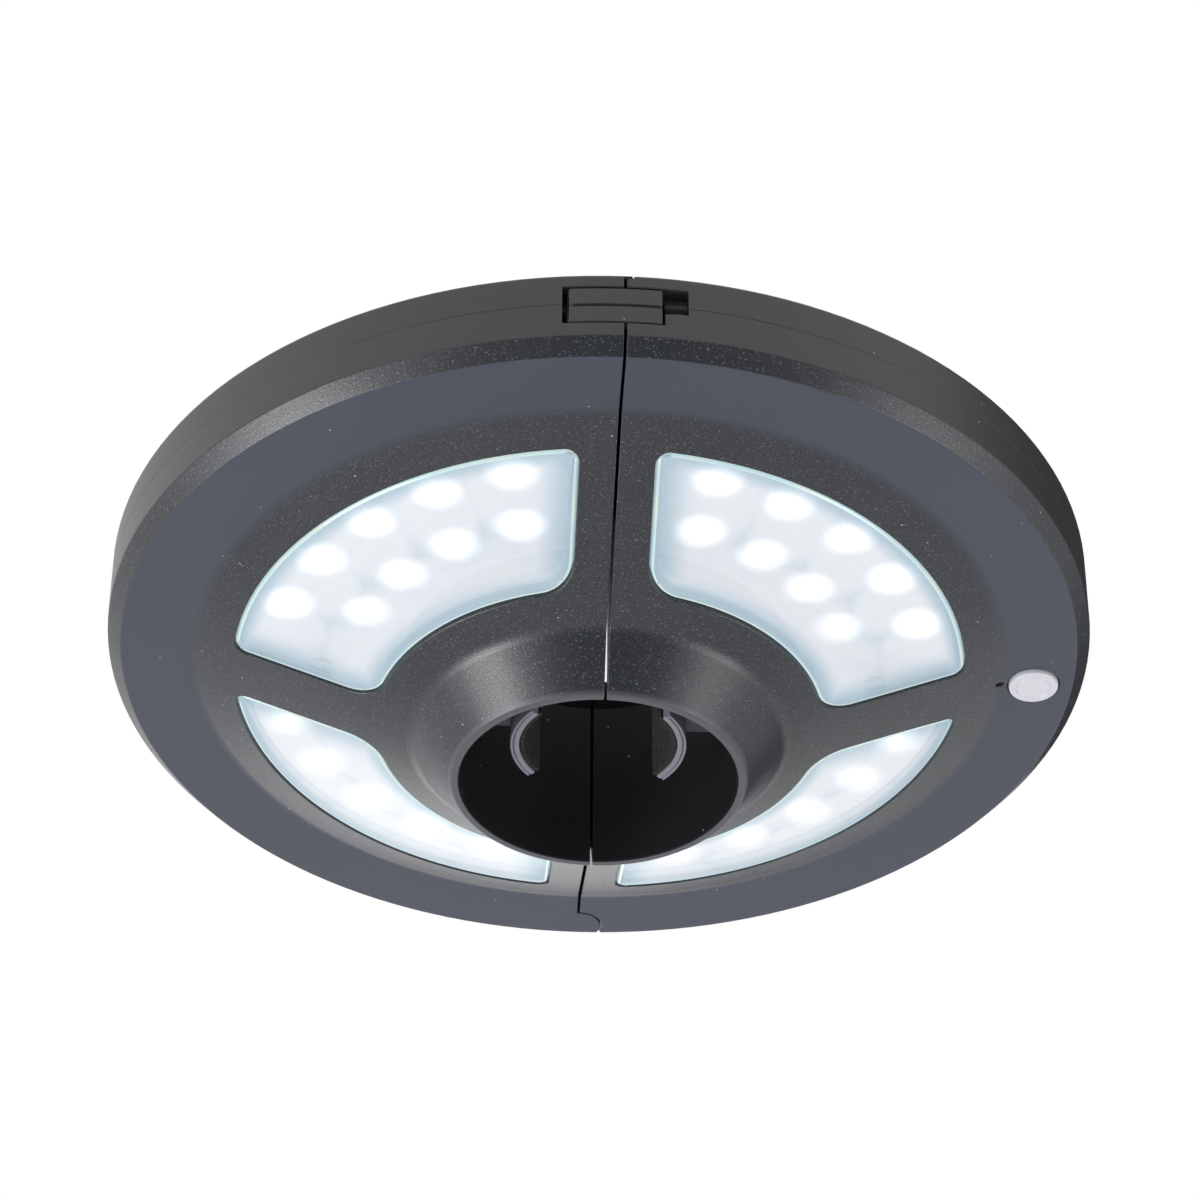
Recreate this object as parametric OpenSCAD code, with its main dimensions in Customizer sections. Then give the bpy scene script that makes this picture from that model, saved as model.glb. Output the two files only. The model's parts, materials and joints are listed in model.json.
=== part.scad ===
// Cordless patio umbrella light. Two half-ring housings hinge together round the
// umbrella's pole, latch at the rim, and grip the pole with two sprung jaws.
// The light shines down. The seam lies on the YZ plane: the latch is on -Y, the
// hinge on +Y, the left half on -X and the right half on +X. Z = 0 is the lower
// edge of the outer wall, on the pole's axis.

/* [Housing] */
// Outside diameter of the closed housing
body_d = 225; // [220:1:236]
// Height of the outer wall, up to the flat back
wall_h = 17.2; // [17:0.1:20]
// Height of the parting line between face and back casings
parting_h = 8.6; // [8.2:0.1:9.4]
// Width of the V groove along the parting line
parting_groove = 0.2; // [0.2:0.1:0.8]
// Thickness of the moulded walls
wall_t = 2.3; // [2:0.1:2.4]
// Gap between the two halves along the seam
seam_gap = 0.6; // [0.4:0.1:0.8]
// Thickness of the flat walls that close each half at the seam
seam_wall = 2; // [1.6:0.1:2.2]
// Rounding of the rim at the back
back_edge_r = 1.2; // [0.6:0.1:2]

/* [Seam] */
// How far the left half's lip reaches past the middle of the seam
seam_lip_w = 1.5; // [1:0.1:1.6]
// Thickness of the lip
seam_lip_t = 0.8; // [0.6:0.1:1]
// Gap round the lip in the right half's rebate
seam_lip_gap = 0.3; // [0.2:0.05:0.4]

/* [Face] */
// Height of the chamfer below the outer wall
chamfer_h = 3.5; // [3:0.1:4]
// Width of the chamfer, seen from below
chamfer_w = 3.2; // [2:0.1:4]
// Width of the flat ring inside the chamfer
ring_w = 16.5; // [15.5:0.1:17]
// Softening of the edge between flat ring and lens field
ring_edge_r = 6; // [2:0.5:10]
// Drop of the conical lens field, from the ring to the hub
field_drop = 19.9; // [18.5:0.1:21]
// Diameter of the hub where the lens field meets it
hub_d = 85; // [82:0.5:86]
// Hollow blend between lens field and hub
hub_blend_r = 7; // [3:0.5:9]
// Drop of the hub cone, from the ring to the lip
hub_drop = 31.5; // [30:0.1:34]
// Outside diameter of the hub lip
lip_d = 66.4; // [65.8:0.1:67]
// Rounding of the hub lip
lip_r = 0.9; // [0.4:0.1:1]
// Diameter of the hole for the pole
bore_d = 62.5; // [62:0.1:63]

/* [Lenses] */
// Flat ring edge to the outer edge of a lens
lens_outer_margin = 9.3; // [8.5:0.1:11]
// Hub edge to the inner edge of a lens
lens_inner_margin = 8.4; // [8:0.1:10]
// Half width of the bars between the lenses
bar_half = 8.4; // [8.2:0.1:10]
// Corner radius at the outer edge of a lens
lens_outer_corner = 2.75; // [2.2:0.05:4]
// Corner radius at the inner edge of a lens
lens_inner_corner = 9; // [8.6:0.1:10]
// Gap round a lens in its opening
lens_gap = 0.25; // [0.15:0.05:0.4]
// How far a lens lies below the surface of its field
lens_recess = 0.25; // [0.1:0.05:0.5]
// Thickness of the front of a lens
lens_t = 1.6; // [1.2:0.1:2]
// Width of the thick rim of a lens
lens_rim = 1.6; // [1.2:0.1:2]
// Width of the flange behind the opening
flange_w = 2.5; // [1.5:0.1:2.6]
// Thickness of the flange
flange_t = 1.4; // [1:0.1:1.6]

/* [Lamps] */
// Light emitters in the outer row behind each lens
outer_leds = 5; // [3:1:6]
// Light emitters in the inner row behind each lens
inner_leds = 4; // [2:1:5]
// Outer edge of a lens to the outer row of emitters
outer_row_inset = 9.2; // [8:0.1:11]
// Inner edge of a lens to the inner row of emitters
inner_row_inset = 5.6; // [4.5:0.1:7]
// Angle from the seam to the first emitter of the outer row
outer_row_start = 17.5; // [15:0.5:20]
// Angle from the seam to the first emitter of the inner row
inner_row_start = 20.5; // [18:0.5:24]
// Side of an emitter's square base
led_w = 3.2; // [2.4:0.1:3.6]
// Height of an emitter
led_h = 1; // [0.6:0.1:1.2]
// Thickness of the circuit boards
board_t = 1.6; // [1:0.1:1.6]
// Flat ring down to the underside of the light boards
board_drop = 0.5; // [0.4:0.05:0.7]
// Gap between a light board and the rim of a lens
board_gap = 0.6; // [0.4:0.1:1.5]
// Hub edge to the inner edge of a light board
board_hub_margin = 3.5; // [3:0.1:4.5]
// Width of the ledge under a light board's straight edge
board_ledge_w = 2.6; // [2:0.1:3]

/* [Hinge] */
// Radius of the left half's knuckles
knuckle_r = 5.7; // [5.2:0.1:6]
// Radial and axial clearance of the knuckles
knuckle_gap = 0.45; // [0.35:0.05:0.5]
// Knuckles to the outside of the wall
knuckle_inset = 0.3; // [0.2:0.1:0.6]
// Top of the lower knuckle
knuckle_low = 2.6; // [2:0.1:3]
// Underside of the upper knuckle
knuckle_high = 11.4; // [11:0.1:12]
// Radius of the solid block that holds the knuckles
hinge_block_r = 11; // [10:0.5:12]
// Angle to which the halves open
open_angle = 75; // [60:1:80]
// Gap between the two rims when the halves are fully open
open_gap = 0.3; // [0.2:0.05:0.4]
// Radius of the hinge pin
hinge_pin_r = 1.5; // [1.2:0.1:1.8]
// Radial clearance of pins that turn in a hole
pin_play = 0.05; // [0.03:0.01:0.08]

/* [Latch] */
// Half width of the latch pocket in the wall
pocket_half = 13.3; // [13:0.1:14]
// Underside of the pocket
pocket_low = 3.5; // [3.2:0.1:4]
// Top of the pocket
pocket_high = 13.6; // [13:0.1:14]
// Depth of the pocket from the outside of the wall
pocket_depth = 6.5; // [6:0.1:7]
// Thickness of the pocket's own walls
pocket_wall = 1.6; // [1.2:0.1:1.6]
// Seam to the free end of the lever
lever_reach = 7.8; // [7:0.1:8.5]
// Seam to the lever's pin
lever_pin_x = 9.6; // [9.2:0.1:10]
// Thickness of the lever
lever_t = 2.6; // [2.2:0.1:2.8]
// Radius of the lever's barrel
barrel_r = 2.4; // [2.1:0.1:2.6]
// Clearance round the lever
lever_gap = 0.3; // [0.2:0.05:0.4]
// Radius of the lever's pin
lever_pin_r = 1; // [0.8:0.1:1.2]
// Seam to the catch that the lever's bead snaps behind
catch_x = 1.2; // [1:0.1:1.4]
// Width of the catch
catch_w = 2.2; // [1.8:0.1:2.4]
// Width of the bead
bead_w = 1.4; // [1:0.1:1.6]
// Height of the bead
bead_h = 0.5; // [0.3:0.1:0.6]
// Outside of the wall to the step in the finger gap
step_depth = 0.6; // [0.5:0.1:1.5]
// Height of the step in the finger gap
step_h = 3.4; // [3:0.1:3.6]
// Outside of the wall to the back of the finger gap
finger_depth = 4.4; // [4.4:0.1:5]
// Rounding of the lever's corners at its pin
lever_corner_r = 0.9; // [0.5:0.1:1.2]
// Width of the fine groove along the lever
lever_groove = 0.3; // [0.2:0.05:0.4]

/* [Pole jaws] */
// Radius of the grip when the jaws are closed
grip_r = 16.8; // [16:0.1:17.5]
// Height of a jaw
jaw_h = 27; // [25:0.5:28]
// Lip up to the underside of the jaws
jaw_rise = 10.2; // [9:0.1:11]
// Half of the angle that a jaw spans
jaw_half_angle = 39; // [34:1:42]
// Thickness of a jaw plate
jaw_t = 2.1; // [1.8:0.1:2.4]
// Thickness of a grip pad
pad_t = 1; // [0.8:0.1:1.4]
// Gap behind a grip pad
pad_gap = 0.1; // [0.05:0.05:0.2]
// Width of a jaw's stem
stem_w = 12; // [10:0.5:12]
// Height of a jaw's stem
stem_h = 9; // [8.4:0.1:9.2]
// Length of a stem from the grip face to its end
stem_len = 21.7; // [21:0.1:22]
// Travel of a jaw
jaw_travel = 8; // [6:0.5:8]
// Clearance round a stem
stem_gap = 0.35; // [0.3:0.05:0.4]
// Depth of the spring's pocket in a stem
stem_pocket = 9; // [8:0.5:10]
// Outside radius of a jaw spring
spring_r = 2.9; // [2.4:0.1:3]
// Thickness of the spring's wire
spring_t = 0.8; // [0.6:0.1:1]
// Thickness of a jaw guide's walls
guide_wall = 1.4; // [1:0.1:1.4]
// Gap between a jaw guide and the light board above it
guide_gap = 0.85; // [0.6:0.05:1.2]

/* [Button] */
// Outside of the wall to the centre of the button
button_inset = 12.2; // [11.5:0.1:13]
// Radius of the button
button_r = 5.7; // [5:0.1:5.8]
// How far the button stands out of the ring
button_out = 0.8; // [0.8:0.1:1.2]
// Travel of the button
button_travel = 0.8; // [0.5:0.1:0.9]
// Gap round the button
button_gap = 0.3; // [0.2:0.05:0.4]
// Radius of the indicator's hole
indicator_r = 0.9; // [0.7:0.1:1.1]
// Centre of the button to the indicator
indicator_offset = 7.7; // [7.5:0.1:8]
// Width of the switch's board, along the radius
switch_board_w = 20; // [19:0.1:20.5]
// Length of the switch's board
switch_board_len = 25.4; // [24:0.1:28]
// Side of the switch's body
switch_w = 6; // [5:0.5:7]
// Height of the switch's body
switch_h = 3.5; // [3:0.1:3.8]

/* [Batteries] */
// Diameter of a cell
cell_d = 14.5; // [13.9:0.1:14.5]
// Length of a cell with its nub
cell_len = 50.5; // [49.5:0.1:50.5]
// Hole for the pole to the battery well
well_offset = 13.75; // [13.3:0.05:14.2]
// Length kept for the contacts beyond the cells
contact_room = 7.5; // [7:0.1:8]
// Side clearance between cells and well
cell_gap = 0.5; // [0.4:0.05:0.55]
// Thickness of a battery door
door_t = 2; // [1.8:0.1:2.1]
// Ledge that carries a door's edge
door_ledge = 1.5; // [1.2:0.1:1.8]
// Gap round a door
door_gap = 0.3; // [0.2:0.05:0.4]

/* [Hanging hooks] */
// Outside of the wall to the hook's pin
hook_pin_inset = 8; // [7.5:0.1:8.5]
// Length from the pin to the centre of the hook's eye
hook_len = 15.7; // [15:0.1:16]
// Outside radius of the eye
eye_outer_r = 7; // [6.4:0.1:7.2]
// Inside radius of the eye
eye_inner_r = 4.2; // [3.6:0.1:4.4]
// Thickness of a hook
hook_t = 3; // [2.6:0.1:3.1]
// Gap round a hook in its recess
hook_gap = 0.6; // [0.4:0.1:0.7]

/* [Screws] */
// Outside of the wall to the outer casing screws
outer_screw_inset = 11.5; // [10.5:0.1:13]
// Hole for the pole to the inner casing screws
inner_screw_offset = 9.25; // [8.6:0.05:9.8]
// Radius of a screw's head
screw_head_r = 2.6; // [2.2:0.1:2.7]
// Radius of a screw's shank
screw_r = 1.2; // [1:0.1:1.3]
// Height of a screw's head
screw_head_h = 1; // [0.8:0.1:1.2]
// Depth of a casing screw's seat below the back
screw_sink = 2.5; // [2:0.1:2.8]
// Length of a casing screw in its boss
screw_bite = 8; // [6:0.5:9]
// Length of a circuit board's screw in its boss
board_screw_bite = 3.5; // [3:0.5:4]
// Radius of a screw boss
boss_r = 3.4; // [3.3:0.1:3.6]

/* [Hidden] */
$fn = 96;

casing_grey = "#3b3b3f";
lens_white = "#dfeef2";
board_white = "#e9e9e4";
rubber_black = "#2a2a2b";
steel_grey = "#a9adb2";

far_off = 400;
body_r = body_d / 2;
half_seam = seam_gap / 2;
top_z = wall_h;
ring_z = -chamfer_h;
ring_r = body_r - chamfer_w;
field_r = ring_r - ring_w;
hub_r = hub_d / 2;
hub_z = ring_z - field_drop;
lip_z = ring_z - hub_drop;
bore_r = bore_d / 2;

// The lens field is a cone: its height at a radius, and the height of a depth square to it
field_slope = (ring_z - hub_z) / (field_r - hub_r);
square_up = sqrt(1 + field_slope * field_slope);
function field_z(r, depth = 0) = hub_z + (r - hub_r) * field_slope + depth * square_up;

lens_ro = field_r - lens_outer_margin;
lens_ri = hub_r + lens_inner_margin;
seat_depth = wall_t + 0.1;

board_z = ring_z - board_drop;
board_ro = lens_ro - lens_rim - board_gap;
board_ri = hub_r + board_hub_margin;
board_edge_x = half_seam + seam_wall + 0.4;
board_ledge_inset = [6, 4];
board_ledge_y = [board_ri + board_ledge_inset[0], board_ro - board_ledge_inset[1]];
board_post = [(board_ri + board_ro) / 2, 0];
board_post_r = 2.6;
outer_row_r = lens_ro - outer_row_inset;
inner_row_r = lens_ri + inner_row_inset;

hinge_y = body_r - knuckle_r - knuckle_inset;

lever_face_r = body_r - 0.2;
lever_pin_y = sqrt(pow(lever_face_r, 2) - pow(lever_pin_x, 2)) - barrel_r - 0.05;
pocket_floor_y = body_r - pocket_depth;
bead_x = catch_x + catch_w + 0.8;
bead_end = 1.5;
step_x = lever_reach + 0.5;
lever_end_x = lever_pin_x + barrel_r + 0.2;

pad_back_r = grip_r + pad_t;
plate_ri = pad_back_r + pad_gap;
plate_ro = plate_ri + jaw_t;
jaw_z = lip_z + jaw_rise;
stem_z = board_z - guide_gap - guide_wall - stem_gap - stem_h / 2;
stem_end_x = grip_r + stem_len;
stem_half = [stem_w / 2, stem_h / 2];
stem_pocket_x = stem_end_x - stem_pocket;
stem_pocket_r = spring_r + 0.3;
shoulder_w = 2.4;
shoulder_t = 1.6;
guide_x = bore_r + wall_t + 0.45;
guide_stop_x = stem_end_x - shoulder_t - 0.3;
guide_end_x = stem_end_x + jaw_travel + 0.7;
guide_half_w = stem_w / 2 + shoulder_w / 2 + 0.4;
window_half = [stem_w / 2 + stem_gap, stem_h / 2 + stem_gap];
window_depth = 8;
jaw_band = 1.5;
jaw_band_groove = 0.3;

button_x = body_r - button_inset;
indicator_x = button_x - indicator_offset;
inner_ring_z = ring_z + wall_t;
button_flange_r = button_r + 1;
button_flange_t = 1;
button_flange_z = inner_ring_z + 0.3;
button_stem_r = 2.5;
button_stem_z = button_flange_z + 1.8;
switch_z = button_stem_z + button_travel + 0.5;
plunger_r = 1.7;
switch_board_z = switch_z + switch_h;
light_pipe_r = indicator_r - 0.2;
indicator_body_r = 1.5;
switch_board_x = indicator_x - indicator_body_r - 3.1;
switch_post_r = 2.4;
switch_posts = [
  for (s = [-1, 1]) [switch_board_x + switch_board_w / 2 - 0.5, s * (switch_board_len / 2 - switch_post_r)]
];
indicator_body_z = button_flange_z + button_flange_t + button_travel + 0.4;

cell_r = cell_d / 2;
well_x = bore_r + well_offset;
well_w = 2 * cell_d + 3 * cell_gap;
well_len = cell_len + contact_room;
well_floor_z = top_z - door_t - 0.2 - cell_d - 0.1;
well_floor_t = 1.5;
well_wall = door_ledge + door_gap + 0.7;
cell_z = well_floor_z + 0.1 + cell_r;
inner_cell_x = well_x + cell_gap + cell_r;
outer_cell_x = inner_cell_x + cell_d + cell_gap;
contact_t = 0.5;
contact_w = cell_d * 0.6;
nub_len = 1.3;
nub_r = 2.7;
door_z = top_z - door_t;
door_y = well_len / 2 + door_ledge;
tab_places = [inner_cell_x, outer_cell_x];
tab_w = 6;
tab_t = 1.5;
tab_root = 1;
tab_reach = 2.3;
tab_z = door_z - tab_t - 0.3;
finger_notch = [13, 3.4];

hook_pin_x = body_r - hook_pin_inset;
hook_z = top_z - 0.4 - hook_t;
hook_pin_z = hook_z + hook_t / 2;
hook_barrel_r = hook_t / 2 + 0.1;
hook_floor_z = hook_z - hook_gap;
hook_half_w = eye_outer_r + hook_gap + 1;
hook_arm_half = 2.6;
hook_pin_r = 0.8;
hook_pan_half = hook_half_w + 2.9;
hook_recess_x = hook_pin_x - hook_len - eye_outer_r - hook_gap;
hook_recess_end = hook_pin_x + hook_barrel_r + hook_gap + 0.7;

screw_seat_z = top_z - screw_sink;
outer_screw_r = body_r - outer_screw_inset;
inner_screw_r = bore_r + inner_screw_offset;

function polar(r, a) = [r * cos(a), r * sin(a)];
function unit(v) = v / norm(v);
casing_screws = concat(
  [for (a = [-66, -38, 38, 66]) polar(outer_screw_r, a)],
  [for (a = [-55, 55]) polar(inner_screw_r, a)]
);

// Points of a round corner at b, between the edges from a and to c
function corner(a, b, c, r, steps = 6) =
  r <= 0 ? [b] :
  let (
    u = unit(a - b), v = unit(c - b), half = acos(u * v) / 2,
    centre = b + unit(u + v) * r / sin(half),
    s = b + u * r / tan(half), e = b + v * r / tan(half),
    a0 = atan2(s.y - centre.y, s.x - centre.x),
    a1 = atan2(e.y - centre.y, e.x - centre.x),
    turn = (a1 - a0 + 540) % 360 - 180
  )
  [for (i = [0:steps]) centre + polar(r, a0 + turn * i / steps)];

// A closed outline whose entries are [x, y, corner radius]
function rounded(p) = [
  for (i = [0:len(p) - 1])
    let (n = len(p), a = p[(i + n - 1) % n], b = p[i], c = p[(i + 1) % n])
    each corner([a.x, a.y], [b.x, b.y], [c.x, c.y], b.z)
];

// The same outline drawn in by t, for corners listed anticlockwise
function drawn_in(p, t) = [
  for (i = [0:len(p) - 1])
    let (
      n = len(p), a = p[(i + n - 1) % n], b = p[i], c = p[(i + 1) % n],
      u = unit([b.x - a.x, b.y - a.y]), v = unit([c.x - b.x, c.y - b.y]),
      nu = [-u.y, u.x], nv = [-v.y, v.x], m = unit(nu + nv)
    )
    [b.x, b.y] + m * t / (m * nu)
];

// Section of the closed housing, anticlockwise from the lip. Each entry is [r, z, rounding]
section = [
  [bore_r, lip_z, lip_r * 0.6],
  [lip_d / 2, lip_z, lip_r],
  [hub_r, hub_z, hub_blend_r],
  [field_r, ring_z, ring_edge_r],
  [ring_r, ring_z, 0],
  [body_r, 0, 0],
  [body_r, top_z, back_edge_r],
  [bore_r, top_z, back_edge_r]
];

// The hollow inside follows the section, but ends in the wedge where hub cone and hole meet
hub_slope = (hub_z - lip_z) / (hub_r - lip_d / 2);
wedge_z = hub_z - (hub_r - bore_r) * hub_slope;
hollow = drawn_in(concat([[bore_r, wedge_z]], [for (i = [2:7]) section[i]]), wall_t);

// The same section split at the parting line, each side with half of the V groove
half_groove = parting_groove / 2;
face_section = concat(
  [for (i = [0:5]) section[i]],
  [
    [body_r, parting_h - half_groove, 0],
    [body_r - half_groove, parting_h, 0],
    [bore_r, parting_h, 0]
  ]
);
back_section = [
  [bore_r, parting_h, 0],
  [body_r - half_groove, parting_h, 0],
  [body_r, parting_h + half_groove, 0],
  section[6],
  section[7]
];

// The half of space on +X beyond x, between two heights
module beyond(x, z0 = -far_off, z1 = far_off)
  translate([x, -far_off, z0]) cube([far_off, 2 * far_off, z1 - z0]);

module on_left() mirror([1, 0, 0]) children();

module post(at, r, z0, z1) translate([at.x, at.y, z0]) cylinder(r = r, h = z1 - z0);

module block(low, high) translate(low) cube(high - low);

// ---- lenses ----

// Cuts one corner back to a round: c is the round's centre, p and q point to where it starts
module corner_off(c, p, q, r) {
  far = 1.9;
  difference() {
    polygon([c, c + p * r * far, c + (p + q) * r * far, c + q * r * far]);
    translate(c) circle(r = r);
  }
}

// Outline of a lens on +X +Y, grown by g all round
module lens_outline(g = 0) {
  a = bar_half - g;
  ro = lens_ro + g;
  ri = lens_ri - g;
  rf = lens_outer_corner + g;
  rg = lens_inner_corner + g;
  outer_c = [a + rf, sqrt(pow(ro - rf, 2) - pow(a + rf, 2))];
  inner_c = [a + rg, sqrt(pow(ri + rg, 2) - pow(a + rg, 2))];
  difference() {
    intersection() {
      circle(r = ro);
      translate([a, a]) square(ro);
    }
    circle(r = ri);
    for (swap = [false, true]) {
      oc = swap ? [outer_c.y, outer_c.x] : outer_c;
      ic = swap ? [inner_c.y, inner_c.x] : inner_c;
      side = swap ? [0, -1] : [-1, 0];
      corner_off(oc, side, unit(oc), rf);
      corner_off(ic, side, -unit(ic), rg);
    }
  }
}

module lens_prism(g = 0) translate([0, 0, lip_z - 5]) linear_extrude(far_off) lens_outline(g);

// A layer of the lens field between two depths behind its surface
module field_layer(depth0, depth1) {
  r0 = hub_r;
  r1 = field_r;
  rotate_extrude() polygon([
    [r0, field_z(r0, depth0)], [r1, field_z(r1, depth0)],
    [r1, field_z(r1, depth1)], [r0, field_z(r0, depth1)]
  ]);
}

module lens() color(lens_white) {
  back = seat_depth + flange_t;
  difference() {
    union() {
      intersection() {
        lens_prism();
        field_layer(lens_recess, seat_depth + 0.2);
      }
      intersection() {
        lens_prism(flange_w);
        field_layer(seat_depth, back);
      }
    }
    intersection() {
      lens_prism(-lens_rim);
      field_layer(lens_recess + lens_t, back + 1);
    }
  }
}

// ---- housing ----

// One shell of a half on +X: children(0) is the space that the half fills, and
// children(1) is what stays solid inside it
module shell(outline)
  difference() {
    intersection() {
      rotate_extrude() polygon(rounded(outline));
      children(0);
    }
    difference() {
      intersection() {
        rotate_extrude() polygon(hollow);
        beyond(half_seam + seam_wall);
      }
      children(1);
    }
  }

// Space of the left half, drawn on +X: its two knuckles reach over the seam
module left_space()
  difference() {
    union() {
      beyond(half_seam, lip_z - 1, top_z + 1);
      block(
        [-seam_lip_w, -far_off, top_z - seam_lip_t],
        [half_seam + 0.1, hinge_y - knuckle_r + 1, top_z + 1]
      );
      post([0, hinge_y], knuckle_r, ring_z - 1, knuckle_low);
      post([0, hinge_y], knuckle_r, knuckle_high, top_z + 1);
    }
    post([0, hinge_y], knuckle_r - 0.2 + knuckle_gap, knuckle_low, knuckle_high);
    hinge_bore(0.02);
  }

// Space of the right half: one knuckle between the left half's two
module right_space()
  difference() {
    union() {
      difference() {
        beyond(half_seam, lip_z - 1, top_z + 1);
        post([0, hinge_y], knuckle_r + knuckle_gap, ring_z - 2, knuckle_low + knuckle_gap);
        post([0, hinge_y], knuckle_r + knuckle_gap, knuckle_high - knuckle_gap, top_z + 2);
        open_rim();
        block(
          [half_seam - 1, -far_off, top_z - seam_lip_t - seam_lip_gap],
          [seam_lip_w + seam_lip_gap, hinge_y, top_z + 2]
        );
      }
      post(
        [0, hinge_y], knuckle_r - 0.2,
        knuckle_low + knuckle_gap, knuckle_high - knuckle_gap
      );
    }
    hinge_bore(pin_play);
  }

// The left half's rim, as the right half meets it when fully open
module open_rim()
  intersection() {
    post([0, hinge_y] + polar(hinge_y, -90 - open_angle), body_r + open_gap, ring_z - 2, top_z + 2);
    block([-1, hinge_y, ring_z - 3], [knuckle_r + 3, body_r + 5, top_z + 3]);
  }

module hinge_bore(play) post([0, hinge_y], hinge_pin_r + play, ring_z + 1, top_z + 3);

// What stays solid inside both casings: hinge block, latch pocket's walls, screw bosses
module common_solids() {
  post([0, hinge_y], hinge_block_r, lip_z - 1, top_z + 1);
  block(
    [-1, -body_r - 1, pocket_low - pocket_wall],
    [pocket_half + pocket_wall, pocket_wall - pocket_floor_y, pocket_high + pocket_wall]
  );
  for (at = casing_screws) post(at, boss_r, lip_z - 1, top_z + 1);
}

// The posts and ledges that carry the light board
module face_solids() {
  post(board_post, board_post_r, lip_z - 1, board_z);
  for (s = [0, 1]) mirror([0, s, 0])
    block(
      [0, board_ledge_y[0], lip_z - 1],
      [board_edge_x + board_ledge_w, board_ledge_y[1], board_z]
    );
}

// A screw's hole in a boss whose face is at z
module pilot_hole(at, z, bite) post(at, screw_r + 0.05, z - bite - 1, z + 1);

// What both face casings lose: lens openings, pilot holes, the jaw's window
module face_cuts() {
  for (s = [0, 1]) mirror([0, s, 0])
    intersection() {
      lens_prism(lens_gap);
      field_layer(-2, wall_t + 1);
    }
  for (at = casing_screws) pilot_hole(at, parting_h, screw_bite);
  pilot_hole(board_post, board_z, board_screw_bite);
  block(
    [bore_r - window_depth, -window_half.x, stem_z - window_half.y],
    [bore_r + wall_t + 2, window_half.x, stem_z + window_half.y]
  );
}

// What both back casings lose: screw holes, the battery well, the hook's recess
module back_cuts() {
  for (at = casing_screws) {
    post(at, screw_r + 0.35, parting_h - 1, top_z + 1);
    post(at, screw_head_r + 0.3, screw_seat_z - 0.05, top_z + 1);
  }
  battery_well();
  hook_recess();
}

// The walls of the battery well and the hook's recess, up into the back plate
module back_boxes() {
  under_back = top_z - wall_t / 2;
  block(
    [well_x - well_wall, -well_len / 2 - well_wall, well_floor_z - well_floor_t],
    [well_x + well_w + well_wall, well_len / 2 + well_wall, under_back]
  );
  block(
    [hook_recess_x - 1.5, -hook_pan_half, hook_floor_z - 1.5],
    [hook_recess_end + 1.2, hook_pan_half, under_back]
  );
}

module latch_pocket()
  block([-1, -body_r - 1, pocket_low], [pocket_half, -pocket_floor_y, pocket_high]);

// Ridge under the lever that its bead snaps over, and the step and back of the finger gap
module catch() {
  block(
    [catch_x, bead_h + 0.3 + lever_t - lever_face_r, pocket_low - 1],
    [catch_x + catch_w, 1 - pocket_floor_y, pocket_high + 1]
  );
  block(
    [step_x, step_depth - body_r, pocket_low - 1],
    [pocket_half + 1, 1 - pocket_floor_y, pocket_low + step_h]
  );
  block(
    [step_x, finger_depth - body_r, pocket_low - 1],
    [pocket_half + 1, 1 - pocket_floor_y, pocket_high + 1]
  );
}

// Seats of the lever's pin above and below the pocket, drawn on +X
module lever_pin_seats()
  post(
    [lever_pin_x, -lever_pin_y], lever_pin_r + 0.02,
    pocket_low - pocket_wall * 0.8, pocket_high + pocket_wall * 0.8
  );

module left_face_casing() color(casing_grey) on_left()
  difference() {
    shell(face_section) {
      left_space();
      union() {
        common_solids();
        face_solids();
      }
    }
    face_cuts();
    latch_pocket();
    lever_pin_seats();
  }

module left_back_casing() color(casing_grey) on_left()
  difference() {
    union() {
      shell(back_section) {
        left_space();
        common_solids();
      }
      back_boxes();
    }
    back_cuts();
    latch_pocket();
    lever_pin_seats();
  }

// The right face casing also carries the button and its board
module right_face_casing() color(casing_grey)
  difference() {
    shell(face_section) {
      right_space();
      union() {
        common_solids();
        face_solids();
        for (at = switch_posts) post(at, switch_post_r, ring_z - 1, switch_board_z);
      }
    }
    face_cuts();
    difference() {
      latch_pocket();
      catch();
    }
    post([button_x, 0], button_r + button_gap, ring_z - 1, inner_ring_z + 1);
    post([indicator_x, 0], indicator_r, ring_z - 2, inner_ring_z + 1);
    for (at = switch_posts) pilot_hole(at, switch_board_z, board_screw_bite);
  }

module right_back_casing() color(casing_grey)
  difference() {
    union() {
      shell(back_section) {
        right_space();
        common_solids();
      }
      back_boxes();
    }
    back_cuts();
    difference() {
      latch_pocket();
      catch();
    }
  }

// Room for the cells, with the door's ledge and the slots for its tabs
module battery_well() {
  e = door_ledge + door_gap;
  block(
    [well_x, -well_len / 2, well_floor_z],
    [well_x + well_w, well_len / 2, top_z + 1]
  );
  block(
    [well_x - e, -well_len / 2 - e, door_z],
    [well_x + well_w + e, well_len / 2 + e, top_z + 1]
  );
  for (x = tab_places)
    block(
      [x - tab_w / 2 - door_gap, well_len / 2 - 1, tab_z - 0.8],
      [x + tab_w / 2 + door_gap, door_y + tab_reach + 0.7, door_z]
    );
  block(
    [well_x + (well_w - finger_notch.x) / 2, -door_y - finger_notch.y, door_z],
    [well_x + (well_w + finger_notch.x) / 2, -door_y, top_z + 1]
  );
}

module hook_recess() {
  block(
    [hook_recess_x, -hook_half_w, hook_floor_z],
    [hook_recess_end, hook_half_w, top_z + 1]
  );
  translate([hook_pin_x, hook_half_w + 2, hook_pin_z]) rotate([90, 0, 0])
    cylinder(r = hook_pin_r + 0.02, h = 2 * hook_half_w + 4);
}

module hinge_pin() color(steel_grey)
  post([0, hinge_y], hinge_pin_r, ring_z + 1.2, top_z - 0.4);

// ---- latch ----

// The corner of the lever's plate beside its pin, rounded where it turns in the pocket
module lever_tail() {
  r = lever_corner_r;
  c = [r - lever_end_x, -sqrt(pow(lever_face_r - r, 2) - pow(lever_end_x - r, 2))];
  linear_extrude(far_off, center = true) corner_off(c, [-1, 0], unit(c), r);
}

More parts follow.
